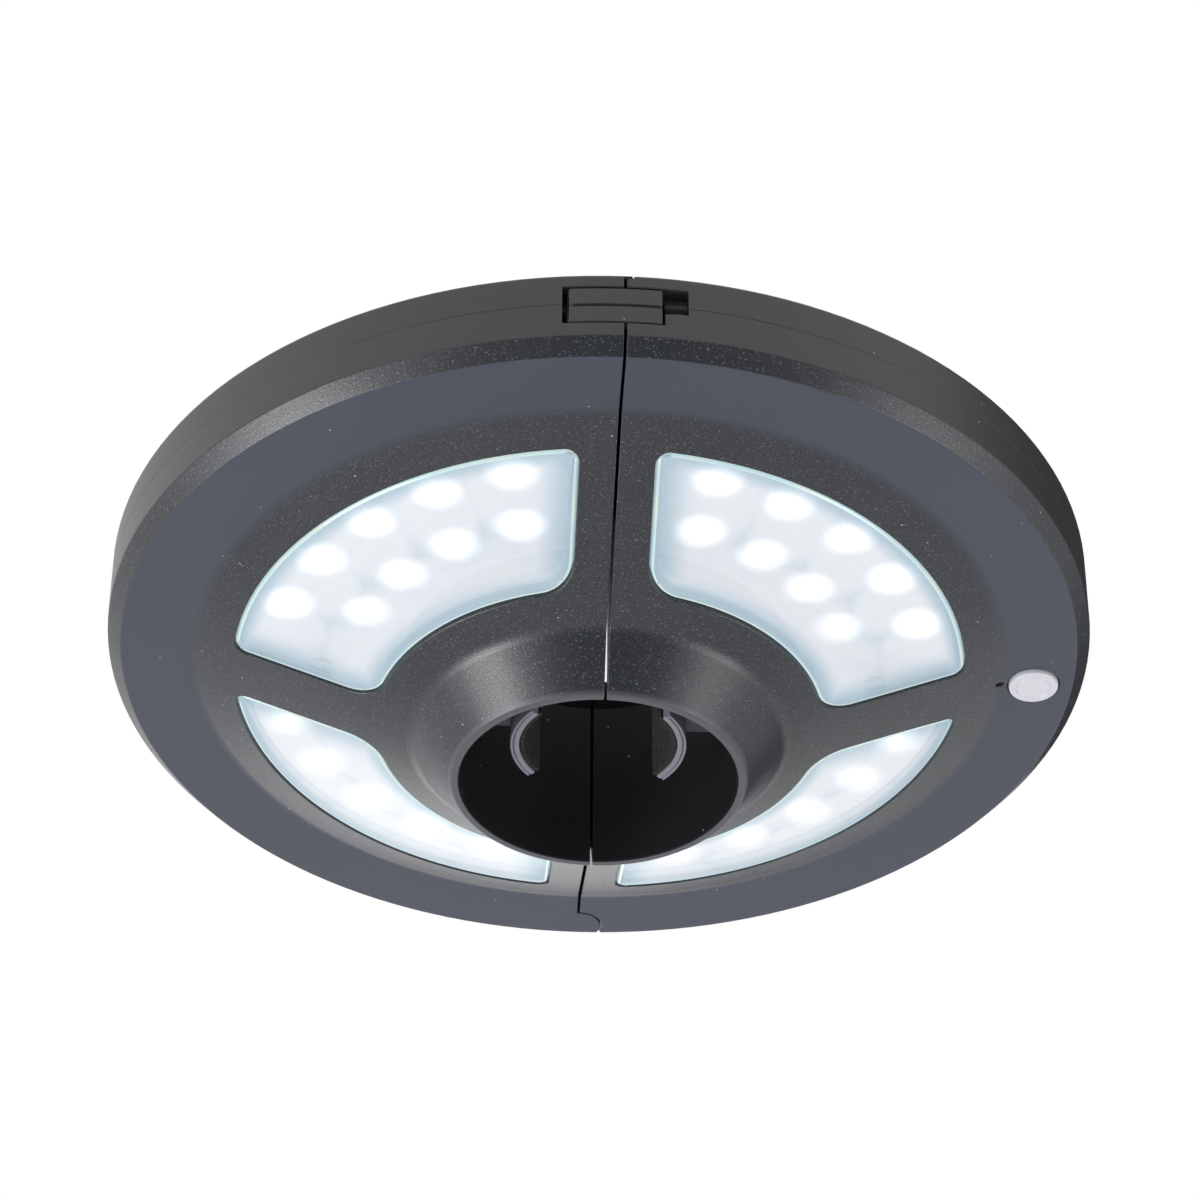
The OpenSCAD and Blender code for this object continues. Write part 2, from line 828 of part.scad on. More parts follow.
module latch_lever() color(casing_grey) {
  z0 = pocket_low + lever_gap;
  z1 = pocket_high - lever_gap;
  mid = (z0 + z1) / 2;
  difference() {
    union() {
      intersection() {
        difference() {
          post([0, 0], lever_face_r, z0, z1);
          post([0, 0], lever_face_r - lever_t, z0 - 1, z1 + 1);
        }
        block([-lever_end_x, -body_r, z0], [lever_reach, -body_r / 2, z1]);
      }
      post([-lever_pin_x, -lever_pin_y], barrel_r, z0, z1);
      block(
        [bead_x, lever_t - lever_face_r - 0.4, z0 + bead_end],
        [bead_x + bead_w, lever_t + bead_h - lever_face_r, z1 - bead_end]
      );
    }
    post([-lever_pin_x, -lever_pin_y], lever_pin_r + pin_play, z0 - 1, z1 + 1);
    lever_tail();
    difference() {
      post([0, 0], body_r + 1, mid - lever_groove / 2, mid + lever_groove / 2);
      post([0, 0], lever_face_r - lever_groove / 2, z0, z1);
    }
  }
}

module latch_pin() color(steel_grey)
  post(
    [-lever_pin_x, -lever_pin_y], lever_pin_r,
    pocket_low - pocket_wall * 0.75, pocket_high + pocket_wall * 0.75
  );

// ---- light boards ----

module half_ring(ri, ro, x, z0, z1)
  intersection() {
    difference() {
      post([0, 0], ro, z0, z1);
      post([0, 0], ri, z0 - 1, z1 + 1);
    }
    beyond(x);
  }

module light_board() color(board_white)
  difference() {
    half_ring(board_ri, board_ro, board_edge_x, board_z, board_z + board_t);
    post(board_post, screw_r + 0.2, board_z - 1, board_z + board_t + 1);
  }

// Angles from the seam of a row of n emitters, the last as far from the bar as the first
function row_angles(n, start) =
  let (span = 90 - 2 * start) [for (i = [0:n - 1]) start + i * span / (n - 1)];

module led(r, a) rotate([0, 0, 90 - a]) translate([r, 0, board_z]) {
  translate([-led_w / 2, -led_w / 2, -led_h * 0.6]) cube([led_w, led_w, led_h * 0.6]);
  translate([0, 0, -led_h]) cylinder(r = led_w * 0.4, h = led_h);
}

module leds() color("#fdfdf0")
  for (s = [0, 1]) mirror([0, s, 0]) {
    for (a = row_angles(outer_leds, outer_row_start)) led(outer_row_r, a);
    for (a = row_angles(inner_leds, inner_row_start)) led(inner_row_r, a);
  }

// ---- pole jaws ----

// An arc of wall round the pole's axis, on +X
module arc_wall(ri, ro, half_angle, z0, z1)
  rotate([0, 0, -half_angle]) rotate_extrude(angle = 2 * half_angle)
    translate([ri, z0]) square([ro - ri, z1 - z0]);

module jaw() color("#6d6e76")
  difference() {
    union() {
      arc_wall(plate_ri, plate_ro, jaw_half_angle, jaw_z, jaw_z + jaw_h);
      block(
        [plate_ri + 0.8, -stem_half.x, stem_z - stem_half.y],
        [stem_end_x, stem_half.x, stem_z + stem_half.y]
      );
      block(
        [stem_end_x - shoulder_t, -stem_half.x - shoulder_w / 2, stem_z - stem_half.y],
        [stem_end_x, stem_half.x + shoulder_w / 2, stem_z + stem_half.y]
      );
    }
    post([0, 0], plate_ri, jaw_z - 1, jaw_z + jaw_h + 1);
    difference() {
      post([0, 0], plate_ri + jaw_band, jaw_z - 1, jaw_z + jaw_band_groove);
      post([0, 0], plate_ri + jaw_band - jaw_band_groove, jaw_z - 2, jaw_z + 1);
    }
    translate([stem_pocket_x, 0, stem_z]) rotate([0, 90, 0])
      cylinder(r = stem_pocket_r, h = stem_end_x);
  }

module jaw_pad() color(rubber_black)
  arc_wall(grip_r, pad_back_r, jaw_half_angle + 1, jaw_z + 0.5, jaw_z + jaw_h - 0.5);

module jaw_spring() color(steel_grey)
  translate([stem_pocket_x + 0.1, 0, stem_z]) rotate([0, 90, 0]) difference() {
    cylinder(r = spring_r, h = guide_end_x - stem_pocket_x - 0.2);
    translate([0, 0, -1]) cylinder(r = spring_r - spring_t, h = stem_end_x);
  }

module jaw_guide() color(casing_grey) {
  w = window_half.x;
  h = window_half.y;
  difference() {
    block(
      [guide_x, -guide_half_w - guide_wall, stem_z - h - guide_wall],
      [guide_end_x + guide_wall, guide_half_w + guide_wall, stem_z + h + guide_wall]
    );
    block([guide_x - 1, -w, stem_z - h], [guide_stop_x + 1, w, stem_z + h]);
    block([guide_stop_x, -guide_half_w, stem_z - h], [guide_end_x, guide_half_w, stem_z + h]);
  }
}

// ---- batteries ----

module cell(x, turn) color("#4c6a52")
  translate([x, 0, cell_z]) rotate([0, 0, turn]) rotate([90, 0, 0]) {
    start = well_len / 2 - contact_t - 0.1 - cell_len;
    translate([0, 0, start]) cylinder(r = cell_r, h = cell_len - nub_len);
    translate([0, 0, start + cell_len - nub_len]) cylinder(r = nub_r, h = nub_len);
  }

module inner_cell() cell(inner_cell_x, 0);

module outer_cell() cell(outer_cell_x, 180);

// End plates, and a spring against the flat end of each cell
module contacts() color(steel_grey) {
  spring_len = well_len - cell_len - 2 * contact_t - 0.2;
  for (s = [-1, 1]) {
    y = s * (well_len / 2 - contact_t / 2);
    for (x = s > 0 ? [(inner_cell_x + outer_cell_x) / 2] : [inner_cell_x, outer_cell_x])
      translate([x, y, cell_z]) cube(
        [s > 0 ? contact_w + cell_d + cell_gap : contact_w, contact_t, contact_w],
        center = true
      );
    translate([s > 0 ? inner_cell_x : outer_cell_x, s * (well_len / 2 - contact_t), cell_z])
      rotate([s * 90, 0, 0]) difference() {
        cylinder(r1 = 4, r2 = 3.2, h = spring_len);
        translate([0, 0, -1]) cylinder(r = 2.4, h = spring_len + 2);
      }
  }
}

module battery_door() color(casing_grey) {
  mid = well_x + well_w / 2;
  block(
    [well_x - door_ledge, -door_y, door_z],
    [well_x + well_w + door_ledge, door_y, top_z]
  );
  block(
    [mid - finger_notch.x / 2 + 1.5, -door_y - finger_notch.y * 0.6, door_z + 0.4],
    [mid + finger_notch.x / 2 - 1.5, 0.1 - door_y, top_z]
  );
  for (x = tab_places) {
    block(
      [x - tab_w / 2, door_y - 0.3 - tab_root, tab_z],
      [x + tab_w / 2, door_y - 0.3, door_z + 0.1]
    );
    block(
      [x - tab_w / 2, door_y - 0.6, tab_z],
      [x + tab_w / 2, door_y + tab_reach, tab_z + tab_t]
    );
  }
}

// ---- hanging hooks ----

module hook() color(casing_grey)
  difference() {
    union() {
      translate([hook_pin_x - hook_len, 0, hook_z]) cylinder(r = eye_outer_r, h = hook_t);
      block(
        [hook_pin_x - hook_len, -hook_arm_half, hook_z],
        [hook_pin_x, hook_arm_half, hook_z + hook_t]
      );
      translate([hook_pin_x, hook_half_w - 0.4, hook_pin_z]) rotate([90, 0, 0])
        cylinder(r = hook_barrel_r, h = 2 * hook_half_w - 0.8);
    }
    translate([hook_pin_x - hook_len, 0, hook_z - 1]) cylinder(r = eye_inner_r, h = hook_t + 2);
    block(
      [hook_pin_x - hook_len + 0.5, 0, hook_z - 1],
      [hook_pin_x - hook_len + eye_inner_r, eye_outer_r + 1, hook_z + hook_t + 1]
    );
    translate([hook_pin_x, far_off / 2, hook_pin_z]) rotate([90, 0, 0])
      cylinder(r = hook_pin_r + pin_play, h = far_off);
  }

module hook_pin() color(steel_grey)
  translate([hook_pin_x, hook_half_w + 1.8, hook_pin_z]) rotate([90, 0, 0])
    cylinder(r = hook_pin_r, h = 2 * hook_half_w + 3.6);

// ---- button and switch ----

module power_button() color("#b9bcc0") {
  post([button_x, 0], button_r, ring_z - button_out, button_flange_z + 0.5);
  post([button_x, 0], button_flange_r, button_flange_z, button_flange_z + button_flange_t);
  post([button_x, 0], button_stem_r, button_flange_z + 0.5, button_stem_z);
}

module switch_plunger() color("#1c1c1e")
  post([button_x, 0], plunger_r, button_stem_z, switch_z + 1);

module switch_body() color("#1c1c1e")
  difference() {
    translate([button_x - switch_w / 2, -switch_w / 2, switch_z]) cube([switch_w, switch_w, switch_h]);
    post([button_x, 0], plunger_r + pin_play, switch_z - 1, switch_z + 1.5 + button_travel);
  }

module switch_board() color("#2f6b4a")
  difference() {
    translate([switch_board_x, -switch_board_len / 2, switch_board_z])
      cube([switch_board_w, switch_board_len, board_t]);
    for (at = switch_posts) post(at, screw_r + 0.2, switch_board_z - 1, switch_board_z + 3);
  }

// A light pipe in the ring's small hole, below the lamp on the board
module indicator_light() color("#e8e4da") {
  post([indicator_x, 0], light_pipe_r, ring_z + 0.5, indicator_body_z + 0.5);
  post([indicator_x, 0], indicator_body_r, indicator_body_z, switch_board_z);
}

// ---- screws ----

// A screw whose head stands on z and whose shank runs down from it
module screw(at, z, len) {
  post(at, screw_head_r, z, z + screw_head_h);
  post(at, screw_r, z - len, z + screw_head_h / 2);
}

module casing_screw_set() {
  for (at = casing_screws) screw(at, screw_seat_z, screw_seat_z - parting_h + screw_bite);
  screw(board_post, board_z + board_t + 0.05, board_t + board_screw_bite);
}

module left_screws() color(steel_grey) on_left() casing_screw_set();

module right_screws() color(steel_grey) {
  casing_screw_set();
  for (at = switch_posts)
    screw(at, switch_board_z + board_t + 0.05, board_t + board_screw_bite);
}

left_face_casing();
left_back_casing();
mirror([1, 0, 0]) mirror([0, 1, 0]) lens();  // left_near_lens
mirror([1, 0, 0]) lens();  // left_far_lens
on_left() light_board();  // left_light_board
on_left() leds();  // left_leds
on_left() jaw_guide();  // left_jaw_guide
on_left() jaw();  // left_jaw
on_left() jaw_pad();  // left_jaw_pad
on_left() jaw_spring();  // left_jaw_spring
on_left() inner_cell();  // left_inner_cell
on_left() outer_cell();  // left_outer_cell
on_left() contacts();  // left_contacts
on_left() battery_door();  // left_battery_door
on_left() hook();  // left_hook
on_left() hook_pin();  // left_hook_pin
left_screws();
right_face_casing();
right_back_casing();
mirror([0, 1, 0]) lens();  // right_near_lens
lens();  // right_far_lens
light_board();  // right_light_board
leds();  // right_leds
jaw_guide();  // right_jaw_guide
jaw();  // right_jaw
jaw_pad();  // right_jaw_pad
jaw_spring();  // right_jaw_spring
inner_cell();  // right_inner_cell
outer_cell();  // right_outer_cell
contacts();  // right_contacts
battery_door();  // right_battery_door
hook();  // right_hook
hook_pin();  // right_hook_pin
right_screws();
hinge_pin();
latch_lever();
latch_pin();
power_button();
switch_plunger();
switch_body();
switch_board();
indicator_light();
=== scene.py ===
"""The looks of a cordless patio umbrella light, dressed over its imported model.

Two half-ring housings close round the umbrella's pole. Each half carries two frosted
lenses over a board of light emitters, a sprung jaw, two cells behind a door and a
fold-out hook. Lengths are millimetres unless a name ends in _m, and the frame's own
coordinates are metres.
"""

import json
import logging
import math
from dataclasses import dataclass, field
from enum import Enum
from typing import Any, Callable, Mapping, Sequence

import bmesh
import bpy
from mathutils import Matrix, Vector

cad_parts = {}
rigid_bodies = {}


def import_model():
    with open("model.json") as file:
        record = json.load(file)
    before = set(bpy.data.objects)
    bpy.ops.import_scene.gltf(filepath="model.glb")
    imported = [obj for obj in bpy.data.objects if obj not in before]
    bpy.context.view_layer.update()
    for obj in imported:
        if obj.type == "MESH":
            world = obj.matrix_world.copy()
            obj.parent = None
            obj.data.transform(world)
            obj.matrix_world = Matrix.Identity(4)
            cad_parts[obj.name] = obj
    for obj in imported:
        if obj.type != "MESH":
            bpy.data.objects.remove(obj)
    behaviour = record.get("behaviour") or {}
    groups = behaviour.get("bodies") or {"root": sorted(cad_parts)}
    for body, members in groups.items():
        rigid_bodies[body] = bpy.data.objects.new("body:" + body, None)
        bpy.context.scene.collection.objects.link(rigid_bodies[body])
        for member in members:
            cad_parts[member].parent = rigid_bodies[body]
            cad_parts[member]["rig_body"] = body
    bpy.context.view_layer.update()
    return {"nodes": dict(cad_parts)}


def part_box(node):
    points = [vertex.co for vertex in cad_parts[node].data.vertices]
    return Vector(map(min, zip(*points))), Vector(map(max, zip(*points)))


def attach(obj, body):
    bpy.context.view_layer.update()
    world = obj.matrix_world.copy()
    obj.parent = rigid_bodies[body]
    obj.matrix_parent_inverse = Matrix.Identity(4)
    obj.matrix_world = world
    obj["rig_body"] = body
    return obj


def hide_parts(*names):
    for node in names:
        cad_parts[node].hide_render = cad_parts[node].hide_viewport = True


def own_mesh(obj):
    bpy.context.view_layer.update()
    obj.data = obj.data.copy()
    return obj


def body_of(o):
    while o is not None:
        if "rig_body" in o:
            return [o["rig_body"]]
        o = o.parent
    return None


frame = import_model()

MM = 0.001
WELD = 0.002 * MM
FLAT_DEG = 0.4
Socket = bpy.types.NodeSocket
Material = bpy.types.Material
Span = tuple[float, float]
log = logging.getLogger("umbrella_light")


# ---- names ----


class Side(Enum):
    """The two half-ring housings, by the sign of X."""

    LEFT = -1
    RIGHT = 1

    def name_of(self, part: str) -> str:
        """The name of this half's part."""
        return f"{self.name.lower()}_{part}"


class Slot(Enum):
    """The record's material slots."""

    CASING = "casing"
    LENS = "lens"
    BOARD = "board"
    EMITTER = "emitter"
    JAW = "jaw"
    RUBBER = "rubber"
    STEEL = "steel"
    CELL = "cell"
    BUTTON = "button"
    SWITCH = "switch"
    CIRCUIT = "circuit"


def linear(colour: str) -> tuple[float, float, float, float]:
    """Turns a hex colour into the linear values that a shader's socket takes.

    Args:
        colour: Six hex digits, as a painter would note them from the screen.

    Returns:
        Linear red, green and blue, with an alpha of 1.
    """
    shares = [int(colour[i : i + 2], 16) / 255 for i in (0, 2, 4)]
    red, green, blue = (
        s / 12.92 if s <= 0.04045 else ((s + 0.055) / 1.055) ** 2.4 for s in shares
    )
    return red, green, blue, 1.0


# ---- node trees ----


class NodeCanvas:
    """A node tree that is written in code: adds nodes, links and sums to it.

    A term of a sum is another socket, or a number that is the same all over.
    """

    def __init__(self, tree: bpy.types.NodeTree) -> None:
        """Takes the tree to write in."""
        self.tree = tree

    def node(
        self, kind: str, inputs: Mapping[str | int, Any] | None = None, **settings: Any
    ) -> bpy.types.Node:
        """Adds a node.

        Args:
            kind: The node's type name.
            inputs: What goes into its sockets: another socket, a hex colour or a value.
            settings: The node's own settings.

        Returns:
            The new node.
        """
        made = self.tree.nodes.new(kind)
        for key, value in settings.items():
            setattr(made, key, value)
        for key, value in (inputs or {}).items():
            if isinstance(value, Socket):
                self.tree.links.new(value, made.inputs[key])
            else:
                made.inputs[key].default_value = linear(value) if isinstance(value, str) else value
        return made

    def first(
        self, kind: str, inputs: Mapping[str | int, Any] | None = None, **settings: Any
    ) -> Socket:
        """Adds a node, as node() does, and returns its first output."""
        return self.node(kind, inputs, **settings).outputs[0]

    def math(self, operation: str, *terms: Any, clamp: bool = False) -> Socket:
        """Adds one sum over sockets or numbers and returns its result."""
        made = self.node("ShaderNodeMath", dict(enumerate(terms)), operation=operation)
        made.use_clamp = clamp
        return made.outputs[0]

    def times(self, one: Any, other: Any) -> Socket:
        """The product of two terms."""
        return self.math("MULTIPLY", one, other)

    def plus(self, one: Any, other: Any, clamp: bool = False) -> Socket:
        """The sum of two terms, kept within 0 and 1 where it is clamped."""
        return self.math("ADD", one, other, clamp=clamp)

    def minus(self, one: Any, other: Any) -> Socket:
        """The first term less the second."""
        return self.math("SUBTRACT", one, other)

    def larger(self, one: Any, other: Any) -> Socket:
        """The larger of two terms."""
        return self.math("MAXIMUM", one, other)

    def smaller(self, one: Any, other: Any) -> Socket:
        """The smaller of two terms."""
        return self.math("MINIMUM", one, other)

    def fade(
        self, value: Any, start: float, end: float, low: float = 0.0, high: float = 1.0
    ) -> Socket:
        """Fades softly between two numbers as a value runs from start to end.

        Args:
            value: The socket that is read.
            start: Where the fade starts.
            end: Where it ends.
            low: The result at the start and before it.
            high: The result at the end and after it.

        Returns:
            The faded number.
        """
        made = self.node(
            "ShaderNodeMapRange",
            {"Value": value, "From Min": start, "From Max": end, "To Min": low, "To Max": high},
            interpolation_type="SMOOTHSTEP",
        )
        return made.outputs["Result"]


@dataclass(frozen=True)
class Noise:
    """Noise whose features are about size millimetres across, which runs from low to high.

    A fade sharpens it: its two numbers are the raw values where the change starts and ends.
    """

    size: float
    low: float = 0.0
    high: float = 1.0
    detail: float = 2.0
    roughness: float = 0.5
    fade: Span | None = None


@dataclass(frozen=True)
class Relief:
    """Noise that stands out of the surface by that depth, in millimetres."""

    noise: Noise
    depth: float
    strength: float


class ShaderGraph(NodeCanvas):
    """One material's node tree, with the sums that this lamp's finishes share."""

    def __init__(self, name: str) -> None:
        """Makes an empty material of that name."""
        self.material = bpy.data.materials.new(name)
        self.material.use_nodes = True
        super().__init__(self.material.node_tree)
        self.tree.nodes.clear()
        self.output = self.node("ShaderNodeOutputMaterial")
        place = self.node("ShaderNodeTexCoord").outputs["Object"]
        self.place = self.first(
            "ShaderNodeVectorMath", {0: place, "Scale": 1 / MM}, operation="SCALE"
        )
        axes = self.node("ShaderNodeSeparateXYZ", {0: self.place})
        self.x, self.y, self.z = axes.outputs[0:3]
        flat = self.first("ShaderNodeCombineXYZ", {"X": self.x, "Y": self.y})
        length = self.node("ShaderNodeVectorMath", {0: flat}, operation="LENGTH")
        self.radius = length.outputs["Value"]

    def mixed(self, share: Any, first: Any, second: Any) -> Socket:
        """Mixes two colours, each a socket or a hex colour, and returns the mix."""
        made = self.node("ShaderNodeMix", {0: share, 6: first, 7: second}, data_type="RGBA")
        return made.outputs[2]

    def noise(self, kind: Noise) -> Socket:
        """Adds noise to the graph.

        Args:
            kind: The noise's size and range.

        Returns:
            Its value at the shaded place.
        """
        made = self.node(
            "ShaderNodeTexNoise",
            {"Vector": self.place, "Scale": 1 / kind.size, "Detail": kind.detail,
             "Roughness": kind.roughness},
        )
        value = made.outputs["Fac"]
        if kind.fade:
            return self.fade(value, *kind.fade, kind.low, kind.high)
        return self.math("MULTIPLY_ADD", value, kind.high - kind.low, kind.low)

    def relief(self, kind: Relief) -> Socket:
        """The shading normal over a fine relief."""
        return self.bumped(self.noise(kind.noise), kind.depth, kind.strength)

    def bumped(self, height: Any, depth: float, strength: Any) -> Socket:
        """The shading normal over a height of 0 to 1 that stands for depth in millimetres."""
        return self.first(
            "ShaderNodeBump", {"Height": height, "Distance": depth * MM, "Strength": strength}
        )

    def surface(self, **sockets: Any) -> Material:
        """Ends the material in one Principled shader.

        Args:
            sockets: The shader's sockets, with underscores for the spaces in their names.

        Returns:
            The finished material.
        """
        named = {key.replace("_", " "): value for key, value in sockets.items()}
        return self.ended(self.first("ShaderNodeBsdfPrincipled", named))

    def ended(self, shader: Socket) -> Material:
        """Ends the material in that shader and returns it."""
        self.tree.links.new(shader, self.output.inputs["Surface"])
        return self.material


class GeometryTree(NodeCanvas):
    """A Geometry Nodes tree that makes pieces that repeat or follow a rule."""

    def __init__(self, name: str, sizes: Mapping[str, float | int], on_points: bool = False) -> None:
        """Makes the tree and its named inputs.

        Args:
            name: The tree's name.
            sizes: Each named input with its default; whole numbers become counts.
            on_points: Whether the tree starts from the points of the mesh it is put on.
        """
        super().__init__(bpy.data.node_groups.new(name, "GeometryNodeTree"))
        face = self.tree.interface
        face.new_socket("Geometry", in_out="OUTPUT", socket_type="NodeSocketGeometry")
        if on_points:
            face.new_socket("Places", in_out="INPUT", socket_type="NodeSocketGeometry")
        self.identifiers: dict[str, str] = {}
        for label, value in sizes.items():
            kind = "NodeSocketInt" if isinstance(value, int) else "NodeSocketFloat"
            socket = face.new_socket(label, in_out="INPUT", socket_type=kind)
            socket.default_value = value
            self.identifiers[label] = socket.identifier
        self.entry = self.node("NodeGroupInput")
        self.exit = self.node("NodeGroupOutput")

    def size(self, label: str) -> Socket:
        """The socket of a named input."""
        return self.entry.outputs[label]

    def triple(self, x: Any = 0.0, y: Any = 0.0, z: Any = 0.0) -> Socket:
        """A vector put together from three sockets or numbers."""
        return self.first("ShaderNodeCombineXYZ", {"X": x, "Y": y, "Z": z})

    def moved(self, shape: Socket, shift: Any, turn: Any = (0, 0, 0)) -> Socket:
        """Turns a shape and then shifts it."""
        return self.first(
            "GeometryNodeTransform", {"Geometry": shape, "Translation": shift, "Rotation": turn}
        )

    def joined(self, *shapes: Socket) -> Socket:
        """Joins shapes into one."""
        made = self.node("GeometryNodeJoinGeometry")
        for shape in shapes:
            self.tree.links.new(shape, made.inputs[0])
        return made.outputs[0]

    def coil(
        self, length: Any, turns: Any, radius: Any, wire: Any, points: int = 28, sides: int = 10
    ) -> Socket:
        """A wound wire that rises along Z from the origin.

        Args:
            length: How far it rises.
            turns: How often it goes round.
            radius: From the axis to the middle of the wire.
            wire: The wire's radius.
            points: Points along each turn.
            sides: Sides of the wire.

        Returns:
            The closed tube.
        """
        spiral = self.first(
            "GeometryNodeCurveSpiral",
            {"Resolution": points, "Rotations": turns, "Start Radius": radius,
             "End Radius": radius, "Height": length},
        )
        ring = self.first("GeometryNodeCurvePrimitiveCircle", {"Resolution": sides, "Radius": wire})
        return self.first(
            "GeometryNodeCurveToMesh",
            {"Curve": spiral, "Profile Curve": ring, "Fill Caps": True},
        )

    def close(self, shape: Socket, material: Material) -> None:
        """Ends the tree: makes instances real and gives them their material."""
        real = self.first("GeometryNodeRealizeInstances", {"Geometry": shape})
        dressed = self.first("GeometryNodeSetMaterial", {"Geometry": real, "Material": material})
        self.tree.links.new(dressed, self.exit.inputs[0])

    def piece(
        self, name: str, values: Mapping[str, float | int], places: Sequence[Vector] = ()
    ) -> bpy.types.Object:
        """Bakes the tree into a plain mesh.

        Args:
            name: The piece's name.
            values: Values for the named inputs that differ from their defaults.
            places: Points in metres, for a tree that starts from points.

        Returns:
            The piece, at the origin, without a modifier.
        """
        mesh = bpy.data.meshes.new(name)
        mesh.from_pydata([tuple(place) for place in places], [], [])
        made = linked(name, mesh)
        modifier = made.modifiers.new(self.tree.name, "NODES")
        modifier.node_group = self.tree
        for label, value in values.items():
            modifier[self.identifiers[label]] = value
        return settled(made)


def linked(name: str, data: Any) -> bpy.types.Object:
    """Puts new data into the scene as an object of that name, at the origin."""
    made = bpy.data.objects.new(name, data)
    bpy.context.scene.collection.objects.link(made)
    return made


def mesh_of(work: bmesh.types.BMesh, name: str) -> bpy.types.Mesh:
    """Turns a finished bmesh into a mesh of that name and frees it."""
    mesh = bpy.data.meshes.new(name)
    work.to_mesh(mesh)
    work.free()
    return mesh


def settled(piece: bpy.types.Object) -> bpy.types.Object:
    """Turns a piece with modifiers into a plain mesh and takes the modifiers off."""
    depsgraph = bpy.context.evaluated_depsgraph_get()
    mesh = bpy.data.meshes.new_from_object(
        piece.evaluated_get(depsgraph), preserve_all_data_layers=True, depsgraph=depsgraph
    )
    mesh.name = piece.name
    piece.modifiers.clear()
    piece.data = mesh
    return piece


# ---- finishes ----


@dataclass(frozen=True)
class HousingPlastic:
    """Charcoal moulded plastic: smooth ring and walls, spark-eroded lens field and chamfer, and a
    bore painted near black as shade.

    A fade's two numbers are the places where its zone starts and where it is whole.
    """

    field_colour: str = "22252a"
    ring_colour: str = "343745"
    wall_colour: str = "312f30"
    lip_colour: str = "45464c"
    bore_shade_colour: str = "060607"
    cloud_colour: str = "46474d"
    # Near-black painted shade inside the pole's bore.
    painted_glint_colour: str = "8b8e97"
    # Pale colour of the glints painted on the eroded zones.
    dust_colour: str = "b4b4b8"
    field_fade_r: Span = (94.0, 90.6)
    past_lip_fade_r: Span = (33.3, 34.2)
    chamfer_fade_r: Span = (109.25, 109.45)
    bore_fade_r: Span = (31.75, 31.45)
    face_fade_z: Span = (0.1, -0.1)
    back_fade_z: Span = (16.6, 17.0)
    sparks: Noise = Noise(0.55, detail=3.0, roughness=0.7)
    spark_depth: float = 0.05
    spark_strength: float = 0.9
    smooth_strength: float = 0.04
    cloud: Noise = Noise(26.0, high=0.2)
    # Fine noise that places the painted glints.
    painted_glints: Noise = Noise(0.44, high=0.3, detail=1.0, fade=(0.6, 0.74))
    dust_per_mm: float = 0.2
    dust_fade: Span = (0.06, 0.03)
    dust_kept: Span = (0.6, 0.62)
    dust_share: float = 0.55
    smooth_roughness: float = 0.38
    textured_roughness: float = 0.33
    uneven_roughness: float = 0.12
    bore_roughness: float = 0.8
    gloss: float = 0.5
    bore_gloss: float = 0.12

    def zones(self, g: ShaderGraph) -> tuple[Socket, Socket, Socket]:
        """Finds how textured each place is and what colour the plastic has there.

        Args:
            g: The graph to write in.

        Returns:
            The share of texture, the base colour with the bore painted near black as shade, and the
            share of bore wall.
        """
        on_face = g.fade(g.z, *self.face_fade_z)
        past_lip = g.fade(g.radius, *self.past_lip_fade_r)
        on_field = g.times(g.fade(g.radius, *self.field_fade_r), past_lip)
        on_chamfer = g.fade(g.radius, *self.chamfer_fade_r)
        eroded = g.times(g.plus(on_field, on_chamfer, clamp=True), on_face)
        textured = g.plus(eroded, g.fade(g.z, *self.back_fade_z), clamp=True)
        # The bore wall is painted near black as shade, and its plastic is rough with low gloss.
        in_shaded_bore = g.fade(g.radius, *self.bore_fade_r)
        colour = g.mixed(textured, self.ring_colour, self.field_colour)
        colour = g.mixed(past_lip, self.lip_colour, colour)
        colour = g.mixed(on_face, self.wall_colour, colour)
        return textured, g.mixed(in_shaded_bore, colour, self.bore_shade_colour), in_shaded_bore

    def dust(self, g: ShaderGraph) -> Socket:
        """Sparse specks of pale dust, as a share from 0 to 1."""
        cells = g.node("ShaderNodeTexVoronoi", {"Vector": g.place, "Scale": self.dust_per_mm})
        speck = g.fade(cells.outputs["Distance"], *self.dust_fade)
        chance = g.first("ShaderNodeSeparateColor", {0: cells.outputs["Color"]})
        return g.times(g.times(speck, g.fade(chance, *self.dust_kept)), self.dust_share)

    def material(self) -> Material:
        """Builds the material, with each zone chosen by its place on the housing, and pale flecks
        painted as glints on the eroded zones.
        """
        g = ShaderGraph("housing_plastic")
        textured, base, in_shaded_bore = self.zones(g)
        sparks = g.noise(self.sparks)
        strength = g.plus(g.times(textured, self.spark_strength), self.smooth_strength)
        colour = g.mixed(g.noise(self.cloud), base, self.cloud_colour)
        # Pale flecks on the eroded zones are painted glints of the spark-eroded texture.
        colour = g.mixed(g.times(g.noise(self.painted_glints), textured), colour, self.painted_glint_colour)
        colour = g.mixed(self.dust(g), colour, self.dust_colour)
        even = g.fade(textured, 0.0, 1.0, self.smooth_roughness, self.textured_roughness)
        uneven = g.times(g.minus(sparks, 0.5), self.uneven_roughness)
        roughness = g.plus(even, uneven)
        return g.surface(
            Base_Color=colour,
            Roughness=g.larger(roughness, g.times(in_shaded_bore, self.bore_roughness)),
            Normal=g.bumped(sparks, self.spark_depth, strength),
            Specular_IOR_Level=g.fade(in_shaded_bore, 0.0, 1.0, self.gloss, self.bore_gloss),
        )


